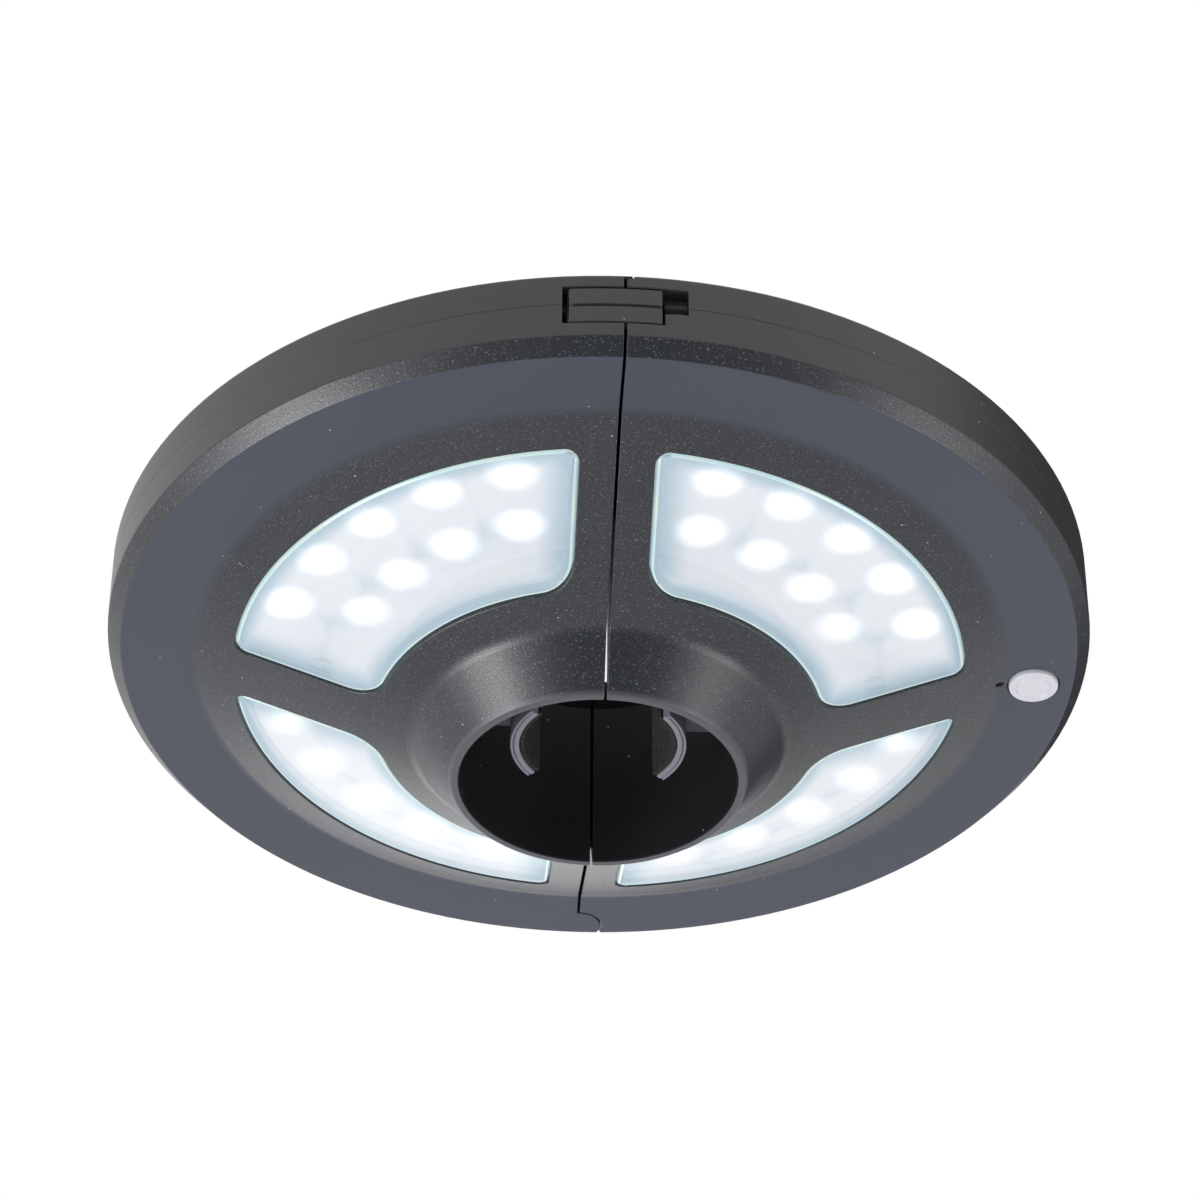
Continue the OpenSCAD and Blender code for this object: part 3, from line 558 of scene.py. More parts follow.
@dataclass(frozen=True)
class EmitterRows:
    """Where the light emitters sit: an outer and an inner row on each quarter."""

    radii: Span = (74.3, 56.5)
    starts_deg: Span = (17.5, 20.5)
    counts: tuple[int, int] = (5, 4)

    def step_deg(self, row: int) -> float:
        """Angle between neighbours of a row."""
        return (90 - 2 * self.starts_deg[row]) / (self.counts[row] - 1)

    def distance(self, g: ShaderGraph) -> Socket:
        """Finds how far a place is from the nearest emitter, in plan.

        Args:
            g: The graph to write in.

        Returns:
            The distance in millimetres.
        """
        angle = g.math("ARCTAN2", g.math("ABSOLUTE", g.x), g.math("ABSOLUTE", g.y))
        nearest: list[Socket] = []
        for row, radius in enumerate(self.radii):
            step = math.radians(self.step_deg(row))
            turned = g.minus(angle, math.radians(self.starts_deg[row]))
            turned = g.math("DIVIDE", turned, step)
            index = g.larger(g.math("ROUND", turned), 0.0)
            index = g.smaller(index, self.counts[row] - 1.0)
            swing = g.times(g.minus(turned, index), step * radius)
            out = g.minus(g.radius, radius)
            square = g.plus(g.times(swing, swing), g.times(out, out))
            nearest.append(g.math("SQRT", square))
        return g.smaller(*nearest)


@dataclass(frozen=True)
class FrostedLens:
    """Frosted clear plastic that glows white over the emitters and icy towards its edges."""

    rows: EmitterRows = field(default_factory=EmitterRows)
    glow_colour: str = "cbcbcf"
    icy_colour: str = "8ba1ae"
    body_colour: str = "6b7479"
    opacity: float = 0.6
    edge_opacity: float = 0.74
    inner_r: float = 50.9
    emitter_fade: Span = (7.0, 15.0)
    cloud: Noise = Noise(9.0, low=-0.25, high=0.25)
    far_to_near_y: Span = (5.0, -5.0)
    far_to_near_reach: Span = (5.0, 13.5)
    board_fade: Span = (1.0, 0.5)
    inner_fade: Span = (6.0, 1.0)
    outer_fade_r: Span = (78.5, 82.5)
    bar_fade: Span = (18.4, 9.4)
    frost: Relief = Relief(Noise(0.5, detail=1.0), 0.006, 0.3)
    roughness: float = 0.36
    gloss: float = 0.35

    def material(self) -> Material:
        """Builds the material of the lens's front, which hides the board's inner end."""
        g = ShaderGraph("frosted_lens")
        away = g.fade(self.rows.distance(g), *self.emitter_fade)
        away = g.plus(away, g.noise(self.cloud), clamp=True)
        reach = g.fade(g.y, *self.far_to_near_y, *self.far_to_near_reach)
        from_inner = g.minus(g.radius, self.inner_r)
        past_board = g.fade(g.math("DIVIDE", from_inner, reach), *self.board_fade)
        at_inner = g.fade(from_inner, *self.inner_fade)
        at_edge = g.larger(at_inner, g.fade(g.radius, *self.outer_fade_r))
        from_bar = g.smaller(g.math("ABSOLUTE", g.x), g.math("ABSOLUTE", g.y))
        icy = g.larger(at_edge, g.fade(from_bar, *self.bar_fade))
        hidden = g.larger(past_board, at_edge)
        return g.surface(
            Base_Color=self.body_colour, Roughness=self.roughness, Specular_IOR_Level=self.gloss,
            Normal=g.relief(self.frost),
            Emission_Color=g.mixed(g.larger(away, icy), self.glow_colour, self.icy_colour),
            Emission_Strength=1.0, Alpha=g.fade(hidden, 0.0, 1.0, self.opacity, self.edge_opacity),
        )


@dataclass(frozen=True)
class LampBoard:
    """White solder mask, lit by the emitters: a soft disc round each and a pale field."""

    rows: EmitterRows = field(default_factory=EmitterRows)
    mask_colour: str = "e6e7e4"
    track_colour: str = "cfd3cf"
    glow_colour: str = "fbfaff"
    disc_fade: Span = (7.4, 1.6)
    near_to_far_y: Span = (-5.0, 5.0)
    near_to_far_glow: Span = (3.2, 1.7)
    field_glow: float = 0.3
    tracks: Noise = Noise(1.1, high=0.12, detail=0.0, fade=(0.48, 0.52))
    roughness: float = 0.45

    def material(self) -> Material:
        """Builds the board's material, in which the discs follow the emitters' rule."""
        g = ShaderGraph("lamp_board")
        disc = g.fade(self.rows.distance(g), *self.disc_fade)
        brightest = g.fade(g.y, *self.near_to_far_y, *self.near_to_far_glow)
        return g.surface(
            Base_Color=g.mixed(g.noise(self.tracks), self.mask_colour, self.track_colour),
            Roughness=self.roughness, Emission_Color=self.glow_colour,
            Emission_Strength=g.math("MULTIPLY_ADD", disc, brightest, self.field_glow),
        )


@dataclass(frozen=True)
class Mottled:
    """A finish whose two colours run into each other in clouds.

    The colours are those of the surface, or of its light where it is lit. The settings are
    the shader's other sockets.
    """

    name: str
    colours: tuple[str, str]
    mottle: Noise
    roughness: Noise | float
    relief: Relief | None = None
    lit: bool = False
    settings: Mapping[str, float | str] = field(default_factory=dict)

    def material(self) -> Material:
        """Builds the material."""
        g = ShaderGraph(self.name)
        sockets: dict[str, Any] = dict(self.settings)
        coloured = "Emission_Color" if self.lit else "Base_Color"
        sockets[coloured] = g.mixed(g.noise(self.mottle), *self.colours)
        rough = self.roughness
        sockets["Roughness"] = g.noise(rough) if isinstance(rough, Noise) else rough
        if self.relief:
            sockets["Normal"] = g.relief(self.relief)
        return g.surface(**sockets)


def plastic(name: str, shade: str, colour: str, roughness: float, depth: float = 0.01) -> Mottled:
    """Plastic of one colour, with the faint mottle and fine skin of a moulding.

    Args:
        name: The finish's name.
        shade: Its darker colour.
        colour: Its lighter colour.
        roughness: Its mean roughness.
        depth: The depth of its skin.

    Returns:
        The finish.
    """
    uneven = Noise(2.5, low=roughness - 0.06, high=roughness + 0.06)
    skin = Relief(Noise(0.35), depth, 0.5)
    return Mottled(name, (shade, colour), Noise(7.0, detail=3.0), uneven, skin)


# The lenses' rounded rim glows pale with emission: a painted highlight along their bevelled edges.
LENS_RIM_HIGHLIGHT = Mottled(
    "lens_rim", ("c4d2c9", "b4ccd6"), Noise(9.0, detail=1.0, fade=(0.35, 0.65)), 0.2, lit=True,
    settings={"Base_Color": "6f7f7c", "Coat_Weight": 0.5, "Emission_Strength": 0.85},
)
EMITTER = Mottled(
    "emitter", ("ffffff", "f2f6ff"), Noise(0.8, detail=1.0), 0.4, lit=True,
    settings={"Base_Color": "e8e6da", "Emission_Strength": 3.3},
)
SMOKED_PIPE = Mottled("smoked_pipe", ("0b0b0d", "17171b"), Noise(1.2), 0.3)
GRIP_RUBBER = Mottled(
    "grip_rubber", ("1d1c1f", "36322f"), Noise(0.9, detail=4.0, roughness=0.7, fade=(0.42, 0.72)),
    0.82, Relief(Noise(0.45, detail=3.0, roughness=0.7), 0.09, 0.8),
    settings={"Specular_IOR_Level": 0.3},
)
BRIGHT_STEEL = Mottled(
    "bright_steel", ("c3c5c8", "94918c"), Noise(3.0, high=0.5, detail=3.0, fade=(0.45, 0.7)),
    Noise(0.6, low=0.22, high=0.38, fade=(0.2, 0.8)), Relief(Noise(0.12, detail=1.0), 0.004, 0.4),
    settings={"Metallic": 1.0},
)


@dataclass(frozen=True)
class CellWrap:
    """The printed sleeve of a dry cell: a wide and a narrow band round a plain colour."""

    sleeve_colour: str = "4c6a52"
    band_colour: str = "c9b37a"
    line_colour: str = "e2e2dc"
    scuff_colour: str = "2e3a31"
    band_y: Span = (8.0, 8.3)
    line_start_y: Span = (6.0, 6.1)
    line_end_y: Span = (7.1, 7.0)
    scuffs: Noise = Noise(1.5, high=0.25, detail=4.0)
    roughness: Noise = Noise(2.0, low=0.26, high=0.38, fade=(0.3, 0.7))
    creases: Relief = Relief(Noise(1.2), 0.01, 0.3)

    def material(self) -> Material:
        """Builds the sleeve's material, banded along the cell."""
        g = ShaderGraph("cell_wrap")
        line = g.times(g.fade(g.y, *self.line_start_y), g.fade(g.y, *self.line_end_y))
        colour = g.mixed(g.fade(g.y, *self.band_y), self.sleeve_colour, self.band_colour)
        colour = g.mixed(line, colour, self.line_colour)
        return g.surface(
            Base_Color=g.mixed(g.noise(self.scuffs), colour, self.scuff_colour),
            Roughness=g.noise(self.roughness), Normal=g.relief(self.creases),
        )


@dataclass(frozen=True)
class CircuitGreen:
    """Green solder mask over copper tracks."""

    colours: tuple[str, str] = ("1f5a3a", "2f7a50")
    tracks_per_mm: float = 0.35
    track_size: Span = (0.9, 0.4)
    track_gap: float = 0.035
    track_depth: float = 0.03
    track_strength: float = 0.4
    roughness: float = 0.32

    def material(self) -> Material:
        """Builds the material."""
        g = ShaderGraph("circuit_green")
        length, width = self.track_size
        tracks = g.node(
            "ShaderNodeTexBrick",
            {"Vector": g.place, "Scale": self.tracks_per_mm, "Mortar Size": self.track_gap,
             "Brick Width": length, "Row Height": width},
        )
        lines = tracks.outputs["Fac"]
        return g.surface(
            Base_Color=g.mixed(lines, *self.colours), Roughness=self.roughness,
            Normal=g.bumped(lines, self.track_depth, self.track_strength),
        )


class Palette:
    """Every finish of the lamp, built once, by the record's slots."""

    def __init__(self) -> None:
        """Builds the materials."""
        # The painted highlight of the lenses' rims.
        self.rim = LENS_RIM_HIGHLIGHT.material()
        self.pipe = SMOKED_PIPE.material()
        finishes = {
            Slot.CASING: HousingPlastic(),
            Slot.LENS: FrostedLens(),
            Slot.BOARD: LampBoard(),
            Slot.EMITTER: EMITTER,
            Slot.JAW: plastic("jaw_plastic", "6f7079", "7c7d88", 0.36),
            Slot.RUBBER: GRIP_RUBBER,
            Slot.STEEL: BRIGHT_STEEL,
            Slot.CELL: CellWrap(),
            Slot.BUTTON: plastic("button_plastic", "babac2", "c4c4cb", 0.33, 0.004),
            Slot.SWITCH: plastic("switch_plastic", "161618", "1d1d20", 0.38),
            Slot.CIRCUIT: CircuitGreen(),
        }
        self.by_slot = {slot: finish.material() for slot, finish in finishes.items()}

    def dress_nodes(self) -> None:
        """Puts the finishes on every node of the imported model, by its slot's material."""
        for name, node in frame["nodes"].items():
            for held in node.material_slots:
                slot = Slot(held.material.name.split(".")[0])
                held.material = self.by_slot[slot]
            log.info("%s: dressed", name)
        frame["nodes"]["indicator_light"].material_slots[0].material = self.pipe


# ---- pieces ----


def place(piece: bpy.types.Object, node: str, slot: Slot) -> None:
    """Hands a finished piece to its node's body, in the node's place, and reports it.

    Args:
        piece: The piece, at the origin.
        node: The node that it stands for.
        slot: The slot that its finish belongs to; it is not used.
    """
    body = body_of(frame["nodes"][node])[0]
    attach(piece, body)
    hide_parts(node)
    log.info("%s: %d faces, rides on %s", piece.name, len(piece.data.polygons), body)


@dataclass(frozen=True)
class RoundedEdges:
    """How the sharp edges of a moulding are broken."""

    width: float
    segments: int = 2
    sharp_deg: float = 30.0
    spared: Callable[[Vector], bool] = lambda middle: False

    def weigh(self, mesh: bpy.types.Mesh) -> None:
        """Marks each sharp edge that is to be rounded, unless its middle is spared.

        Args:
            mesh: The mesh whose edges get a bevel weight.
        """
        work = bmesh.new()
        work.from_mesh(mesh)
        weights = work.edges.layers.float.new("bevel_weight_edge")
        for edge in work.edges:
            middle = (edge.verts[0].co + edge.verts[1].co) / (2 * MM)
            sharp = edge.calc_face_angle(0.0) > math.radians(self.sharp_deg)
            edge[weights] = 1.0 if sharp and not self.spared(middle) else 0.0
        work.to_mesh(mesh)
        work.free()

    def moulding(self, node: str, slot: Slot, *materials: Material) -> None:
        """Puts a copy with merged faces, rounded edges and even shading in a node's place.

        Args:
            node: The node to copy.
            slot: The slot of its finish.
            materials: Its materials; the first dresses it all but the rounded edges,
                which take the second where there is one.
        """
        name = f"{node}_moulding"
        mesh = merged(node, name)
        self.weigh(mesh)
        for material in materials:
            mesh.materials.append(material)
        made = linked(name, mesh)
        bevel = made.modifiers.new("edges", "BEVEL")
        bevel.width = self.width * MM
        bevel.segments = self.segments
        bevel.limit_method = "WEIGHT"
        bevel.use_clamp_overlap = False
        bevel.material = len(materials) - 1
        even = made.modifiers.new("even", "WEIGHTED_NORMAL")
        even.keep_sharp = True
        place(settled(made), node, slot)


def merged(node: str, name: str) -> bpy.types.Mesh:
    """Copies a node's loose triangles into one closed mesh with flat faces joined.

    Args:
        node: The node to copy.
        name: The mesh's name.

    Returns:
        The mesh, smooth shaded and without materials.
    """
    work = bmesh.new()
    work.from_mesh(frame["nodes"][node].data)
    bmesh.ops.remove_doubles(work, verts=work.verts, dist=WELD)
    bmesh.ops.dissolve_limit(
        work, angle_limit=math.radians(FLAT_DEG), use_dissolve_boundaries=False,
        verts=work.verts[:], edges=work.edges[:], delimit=set(),
    )
    for face in work.faces:
        face.smooth = True
        face.material_index = 0
    mesh = mesh_of(work, name)
    if "custom_normal" in mesh.attributes:
        mesh.attributes.remove(mesh.attributes["custom_normal"])
    return mesh


# ---- sub-assemblies ----


@dataclass
class Housing:
    """The four casings of the two halves."""

    palette: Palette
    edge_r: float = 0.28
    parting_z: float = 8.6
    parting_half: float = 0.25

    def on_parting(self, at: Vector) -> bool:
        """Whether a place in millimetres lies in the parting line's groove."""
        return abs(at.z - self.parting_z) < self.parting_half

    def build(self) -> None:
        """Makes the casings with their edges broken, apart from the fine parting line."""
        edges = RoundedEdges(self.edge_r, 3, spared=self.on_parting)
        for side in Side:
            for part in ("face_casing", "back_casing"):
                edges.moulding(side.name_of(part), Slot.CASING, self.palette.by_slot[Slot.CASING])


@dataclass
class Lamps:
    """Lenses, light boards and emitters of both halves."""

    palette: Palette
    rows: EmitterRows = field(default_factory=EmitterRows)
    edge_r: float = 0.8
    field_line: tuple[Span, Span] = ((42.5, -23.4), (92.8, -3.5))
    front_depth: float = 0.55
    package_w: float = 3.2
    package_h: float = 0.6
    dome_r: float = 1.28
    dome_h: float = 1.0
    dome_taper: float = 0.8
    pad_at: float = 0.5625
    pad_share: tuple[float, float, float] = (0.22, 0.5, 0.4)

    def package(self, t: GeometryTree) -> Socket:
        """Builds one emitter that hangs under the origin.

        Args:
            t: The tree to write in.

        Returns:
            A square package under a dome, with a solder pad at either end.
        """
        width, tall = t.size("Package width"), t.size("Package height")
        base = t.first("GeometryNodeMeshCube", {"Size": t.triple(width, width, tall)})
        base = t.moved(base, t.triple(z=t.times(tall, -0.5)))
        radius, rise = t.size("Dome radius"), t.size("Dome height")
        dome = t.first(
            "GeometryNodeMeshCone",
            {"Vertices": 24, "Radius Top": radius,
             "Radius Bottom": t.times(radius, self.dome_taper), "Depth": rise},
        )
        emitter = t.joined(base, t.moved(dome, t.triple(z=t.times(rise, -1.0))))
        long, across, thick = self.pad_share
        for at in (-self.pad_at, self.pad_at):
            size = t.triple(t.times(width, long), t.times(width, across), t.times(tall, thick))
            pad = t.first("GeometryNodeMeshCube", {"Size": size})
            shift = t.triple(t.times(width, at), z=t.times(tall, -thick / 2))
            emitter = t.joined(emitter, t.moved(pad, shift))
        return emitter

    def emitter_tree(self) -> GeometryTree:
        """A row of emitters on both quarters of a half, hanging under the board."""
        sizes = {
            "Row radius": 0.0, "First angle": 0.0, "Step angle": 0.0, "Count": 0, "Side": 1.0,
            "Board height": 0.0, "Package width": self.package_w * MM,
            "Package height": self.package_h * MM, "Dome radius": self.dome_r * MM,
            "Dome height": self.dome_h * MM,
        }
        t = GeometryTree("emitter_row", sizes)
        index = t.first("GeometryNodeInputIndex")
        count, side, radius = t.size("Count"), t.size("Side"), t.size("Row radius")
        on_far = t.math("GREATER_THAN", index, t.minus(count, 0.5))
        nth = t.minus(index, t.times(count, on_far))
        angle = t.math("MULTIPLY_ADD", nth, t.size("Step angle"), t.size("First angle"))
        way = t.math("MULTIPLY_ADD", on_far, 2.0, -1.0)
        x = t.times(t.times(t.math("SINE", angle), radius), side)
        y = t.times(t.times(t.math("COSINE", angle), radius), way)
        points = t.first(
            "GeometryNodePoints",
            {"Count": t.times(count, 2.0), "Position": t.triple(x, y, t.size("Board height"))},
        )
        row = t.first(
            "GeometryNodeInstanceOnPoints",
            {"Points": points, "Instance": self.package(t),
             "Rotation": t.triple(z=t.times(t.times(angle, way), side))},
        )
        t.close(row, self.palette.by_slot[Slot.EMITTER])
        return t

    def behind_front(self, at: Vector) -> bool:
        """Whether a place in millimetres lies behind the front face of a lens."""
        (inner_r, inner_z), (outer_r, outer_z) = self.field_line
        slope = (outer_z - inner_z) / (outer_r - inner_r)
        surface_z = inner_z + (math.hypot(at.x, at.y) - inner_r) * slope
        return (at.z - surface_z) / math.hypot(1.0, slope) > self.front_depth

    def build(self) -> None:
        """Makes the lenses and the emitters; the boards keep their nodes."""
        edges = RoundedEdges(self.edge_r, 3, spared=self.behind_front)
        tree = self.emitter_tree()
        rows = self.rows
        for side in Side:
            for part in ("near_lens", "far_lens"):
                front = self.palette.by_slot[Slot.LENS]
                # The rounded edges of each lens take the rim's painted highlight.
                edges.moulding(side.name_of(part), Slot.LENS, front, self.palette.rim)
            board_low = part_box(side.name_of("light_board"))[0].z
            for row, label in enumerate(("outer", "inner")):
                values = {
                    "Row radius": rows.radii[row] * MM, "Count": rows.counts[row],
                    "First angle": math.radians(rows.starts_deg[row]),
                    "Step angle": math.radians(rows.step_deg(row)),
                    "Side": float(side.value), "Board height": board_low,
                }
                piece = tree.piece(side.name_of(f"{label}_emitters"), values)
                place(piece, side.name_of("leds"), Slot.EMITTER)


@dataclass
class SmallMouldings:
    """Moving and inner mouldings whose edges are broken finely."""

    palette: Palette

    def build(self) -> None:
        """Makes the lever, jaws, pads, doors and hooks."""
        RoundedEdges(0.3, 3).moulding("latch_lever", Slot.CASING, self.palette.by_slot[Slot.CASING])
        plan = (
            ("jaw", Slot.JAW, RoundedEdges(0.22)),
            ("jaw_pad", Slot.RUBBER, RoundedEdges(0.15)),
            ("battery_door", Slot.CASING, RoundedEdges(0.25)),
            ("hook", Slot.CASING, RoundedEdges(0.3, 3)),
        )
        for side in Side:
            for part, slot, edges in plan:
                edges.moulding(side.name_of(part), slot, self.palette.by_slot[slot])


@dataclass(frozen=True)
class Lathe:
    """Turns a profile about an axis into a closed piece."""

    steps: int = 64
    sharp_deg: float = 32.0
    weld: float = 0.0005
    end_slope: float = 0.95

    def turned(
        self, name: str, profile: Sequence[tuple[float, float]], place_at: Matrix,
        materials: Sequence[Material], plain_ends: bool = False,
    ) -> bpy.types.Object:
        """Makes a turned piece.

        Args:
            name: The piece's name.
            profile: Pairs of radius and height from the axis back to the axis.
            place_at: Where the axis, local +Z, goes, in millimetres.
            materials: The piece's materials.
            plain_ends: Whether faces square to the axis take the second material.

        Returns:
            The piece, at the origin.
        """
        work = bmesh.new()
        line = [work.verts.new((r, 0.0, z)) for r, z in profile]
        edges = [work.edges.new(pair) for pair in zip(line, line[1:])]
        bmesh.ops.spin(
            work, geom=line + edges, cent=(0, 0, 0), axis=(0, 0, 1),
            angle=math.tau, steps=self.steps,
        )
        bmesh.ops.remove_doubles(work, verts=work.verts, dist=self.weld)
        bmesh.ops.recalc_face_normals(work, faces=work.faces)
        for face in work.faces:
            face.smooth = True
            face.material_index = int(plain_ends and abs(face.normal.z) > self.end_slope)
        bmesh.ops.transform(work, matrix=Matrix.Scale(MM, 4) @ place_at, verts=work.verts)
        mesh = mesh_of(work, name)
        mesh.set_sharp_from_angle(angle=math.radians(self.sharp_deg))
        for material in materials:
            mesh.materials.append(material)
        return linked(name, mesh)


@dataclass
class Button:
    """The power button, with a rolled edge and a shallow ring in its face."""

    palette: Palette
    radius: float = 5.7
    ring_r: float = 3.9
    ring_bottom: float = 0.1
    ring_top: float = 0.25
    ring_depth: float = 0.2
    dish: float = 0.06
    crest: float = 0.04
    rolled_edge: tuple[Span, ...] = ((0.7, 0.0), (0.32, 0.05), (0.09, 0.25), (0.0, 0.55))
    flange_r: float = 6.7
    stem_r: float = 2.5
    face_z: float = -4.3
    flange_z: Span = (-0.9, 0.1)
    stem_z: float = 0.9

    def build(self) -> None:
        """Makes the button about its own centre."""
        z, ring = self.face_z, self.ring_r
        under, over = self.flange_z
        profile = [
            (0, z + self.dish), (ring - self.ring_top, z + self.dish),
            (ring - self.ring_bottom, z + self.ring_depth),
            (ring + self.ring_bottom, z + self.ring_depth), (ring + self.ring_top, z + self.crest),
            *((self.radius - inwards, z + up) for inwards, up in self.rolled_edge),
            (self.radius, under), (self.flange_r, under), (self.flange_r, over),
            (self.stem_r, over), (self.stem_r, self.stem_z), (0, self.stem_z),
        ]
        low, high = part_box("power_button")
        centre = (low + high) / (2 * MM)
        axis = Matrix.Translation((centre.x, centre.y, 0))
        skin = [self.palette.by_slot[Slot.BUTTON]]
        piece = Lathe(96).turned("power_button_cap", profile, axis, skin)
        place(piece, "power_button", Slot.BUTTON)


@dataclass
class Cells:
    """The dry cells, sleeved, with a crimped flat end and a nub."""

    palette: Palette
    nub_r: float = 2.7
    nub_len: float = 1.3
    nub_round: float = 0.3
    crimp: float = 0.7
    crimp_round: float = 0.2
    dish: float = 0.25
    dish_edge: Span = (1.9, 1.7)

    def build(self) -> None:
        """Makes both cells of each half along the boxes of their nodes."""
        skins = [self.palette.by_slot[Slot.CELL], self.palette.by_slot[Slot.STEEL]]
        for side in Side:
            for label, nub_way in (("inner_cell", 1), ("outer_cell", -1)):
                node = side.name_of(label)
                low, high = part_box(node)
                radius = (high.x - low.x) / (2 * MM)
                length = (high.y - low.y) / MM
                body = length - self.nub_len
                crimp, bend, dished = self.crimp, self.crimp_round, radius - self.dish_edge[0]
                profile = [
                    (0, self.dish), (dished, self.dish), (radius - self.dish_edge[1], 0),
                    (radius - crimp, 0), (radius - bend, bend), (radius, crimp),
                    (radius, body - crimp), (radius - bend, body - bend), (radius - crimp, body),
                    (self.nub_r, body), (self.nub_r, length - self.nub_round),
                    (self.nub_r - self.nub_round, length), (0, length),
                ]
                middle = (low + high) / (2 * MM)
                start = high.y / MM if nub_way > 0 else low.y / MM
                turn = Matrix.Rotation(math.radians(90 * nub_way), 4, "X")
                axis = Matrix.Translation((middle.x, start, middle.z)) @ turn
                piece = Lathe().turned(f"{node}_sleeved", profile, axis, skins, plain_ends=True)
                place(piece, node, Slot.CELL)


def islands(node: str) -> list[tuple[Vector, Vector]]:
    """Finds the separate solids of a node.

    Args:
        node: The node to read.

    Returns:
        The low and high corner of each solid, in metres.
    """
    work = bmesh.new()
    work.from_mesh(frame["nodes"][node].data)
    bmesh.ops.remove_doubles(work, verts=work.verts, dist=WELD)
    found: list[tuple[Vector, Vector]] = []
    left = set(work.verts)
    while left:
        group = [left.pop()]
        for vert in group:
            joined = {edge.other_vert(vert) for edge in vert.link_edges} & left
            left -= joined
            group.extend(joined)
        corners = [[v.co[i] for v in group] for i in range(3)]
        found.append((Vector(map(min, corners)), Vector(map(max, corners))))
    work.free()
    return sorted(found, key=lambda box: tuple(box[0]))


@dataclass
class Fasteners:
    """The casing and board screws: domed heads with a cross recess, and threaded shanks."""

    palette: Palette
    head_r: float = 2.6
    head_h: float = 1.0
    head_taper: float = 0.82
    shank_r: float = 1.06
    thread_r: float = 0.12
    pitch: float = 0.9
    slot_w: float = 0.62
    slot_len: float = 2.7
    longest_board_screw: float = 8.0

    def tree(self) -> GeometryTree:
        """Screws that stand head up on the points, which lie on top of their heads."""
        sizes = {
            "Head radius": self.head_r * MM, "Head height": self.head_h * MM,
            "Shank radius": self.shank_r * MM, "Shank length": 0.0,
            "Thread radius": self.thread_r * MM, "Pitch": self.pitch * MM,
            "Slot width": self.slot_w * MM, "Slot length": self.slot_len * MM,
        }
        t = GeometryTree("screws", sizes, on_points=True)
        tall, length = t.size("Head height"), t.size("Shank length")
        radius = t.size("Head radius")
        head = t.first(
            "GeometryNodeMeshCone",
            {"Vertices": 40, "Radius Top": t.times(radius, self.head_taper),
             "Radius Bottom": radius, "Depth": tall},
        )
        head = t.moved(head, t.triple(z=t.times(tall, -1.0)))
        recess = t.node("GeometryNodeMeshBoolean", {"Mesh 1": head}, operation="DIFFERENCE")
        wide, long = t.size("Slot width"), t.size("Slot length")
        for across, along in ((wide, long), (long, wide)):
            bar = t.first("GeometryNodeMeshCube", {"Size": t.triple(across, along, tall)})
            t.tree.links.new(bar, recess.inputs["Mesh 2"])
        shank = t.first(
            "GeometryNodeMeshCylinder",
            {"Vertices": 20, "Radius": t.size("Shank radius"), "Depth": length},
        )
        middle = t.math("MULTIPLY_ADD", length, -0.5, t.times(tall, -0.9))
        shank = t.moved(shank, t.triple(z=middle))
        thread = t.coil(
            length, t.math("DIVIDE", length, t.size("Pitch")), t.size("Shank radius"),
            t.size("Thread radius"), points=16, sides=4,
        )
        drop = t.minus(t.times(tall, -1.0), length)
        thread = t.moved(thread, t.triple(z=drop))
        screw = t.joined(recess.outputs["Mesh"], shank, thread)
        placed = t.first(
            "GeometryNodeInstanceOnPoints", {"Points": t.entry.outputs["Places"], "Instance": screw}
        )
        t.close(placed, self.palette.by_slot[Slot.STEEL])
        return t

    def build(self) -> None:
        """Makes each half's screws, by length, in the places of its node's solids."""
        tree = self.tree()
        for side in Side:
            node = side.name_of("screws")
            by_length: dict[float, list[Vector]] = {}
            for low, high in islands(node):
                top = Vector(((low.x + high.x) / 2, (low.y + high.y) / 2, high.z))
                by_length.setdefault(round((high.z - low.z) / MM, 1), []).append(top)
            for length, tops in sorted(by_length.items()):
                label = "casing" if length > self.longest_board_screw else "board"
                values = {"Shank length": (length - self.head_h) * MM}
                piece = tree.piece(side.name_of(f"{label}_screws"), values, tops)
                place(piece, node, Slot.STEEL)


@dataclass
class JawSprings:
    """The coil spring behind each jaw, made at one length."""

    palette: Palette
    wire_r: float = 0.4
    turns: int = 8
    fixed_x: float = 47.2
    travel: float = 8.0

    def tree(self) -> GeometryTree:
        """A coil along X, from its free end to its fixed end."""
        sizes = {
            "Length": 0.0, "Turns": float(self.turns), "Coil radius": 0.0,
            "Wire radius": self.wire_r * MM, "Side": 1.0, "Start": 0.0, "Height": 0.0,
        }
        t = GeometryTree("jaw_spring_coil", sizes)
        coil = t.coil(t.size("Length"), t.size("Turns"), t.size("Coil radius"), t.size("Wire radius"))
        turn = t.triple(y=t.times(t.size("Side"), math.pi / 2))
        shift = t.triple(t.times(t.size("Side"), t.size("Start")), z=t.size("Height"))
        t.close(t.moved(coil, shift, turn), self.palette.by_slot[Slot.STEEL])
        return t

    def build(self) -> None:
        """Makes both springs along the boxes of their nodes."""
        tree = self.tree()
        for side in Side:
            node = side.name_of("jaw_spring")
            low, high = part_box(node)
            near = min(abs(low.x), abs(high.x))
            far = max(abs(low.x), abs(high.x))
            wire = self.wire_r * MM
            values = {
                "Length": far - near - 2 * wire, "Coil radius": (high.y - low.y) / 2 - wire,
                "Side": float(side.value), "Start": near + wire, "Height": (low.z + high.z) / 2,
            }
            piece = tree.piece(f"{node}_coil", values)
            place(piece, node, Slot.STEEL)
            side.name_of("jaw_slide")
            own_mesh(piece)


# ---- studio ----


@dataclass(frozen=True)
class Panel:
    """A square softbox or dark card that faces the lamp."""

    name: str
    towards: tuple[float, float, float]
    away: float
    width: float
    watts: float = 0.0

    def placed(self) -> Matrix:
        """Where the panel stands, in metres, with its +Z away from the lamp."""
        direction = Vector(self.towards).normalized()
        turn = direction.to_track_quat("Z", "Y").to_matrix().to_4x4()
        return Matrix.Translation(direction * self.away * MM) @ turn


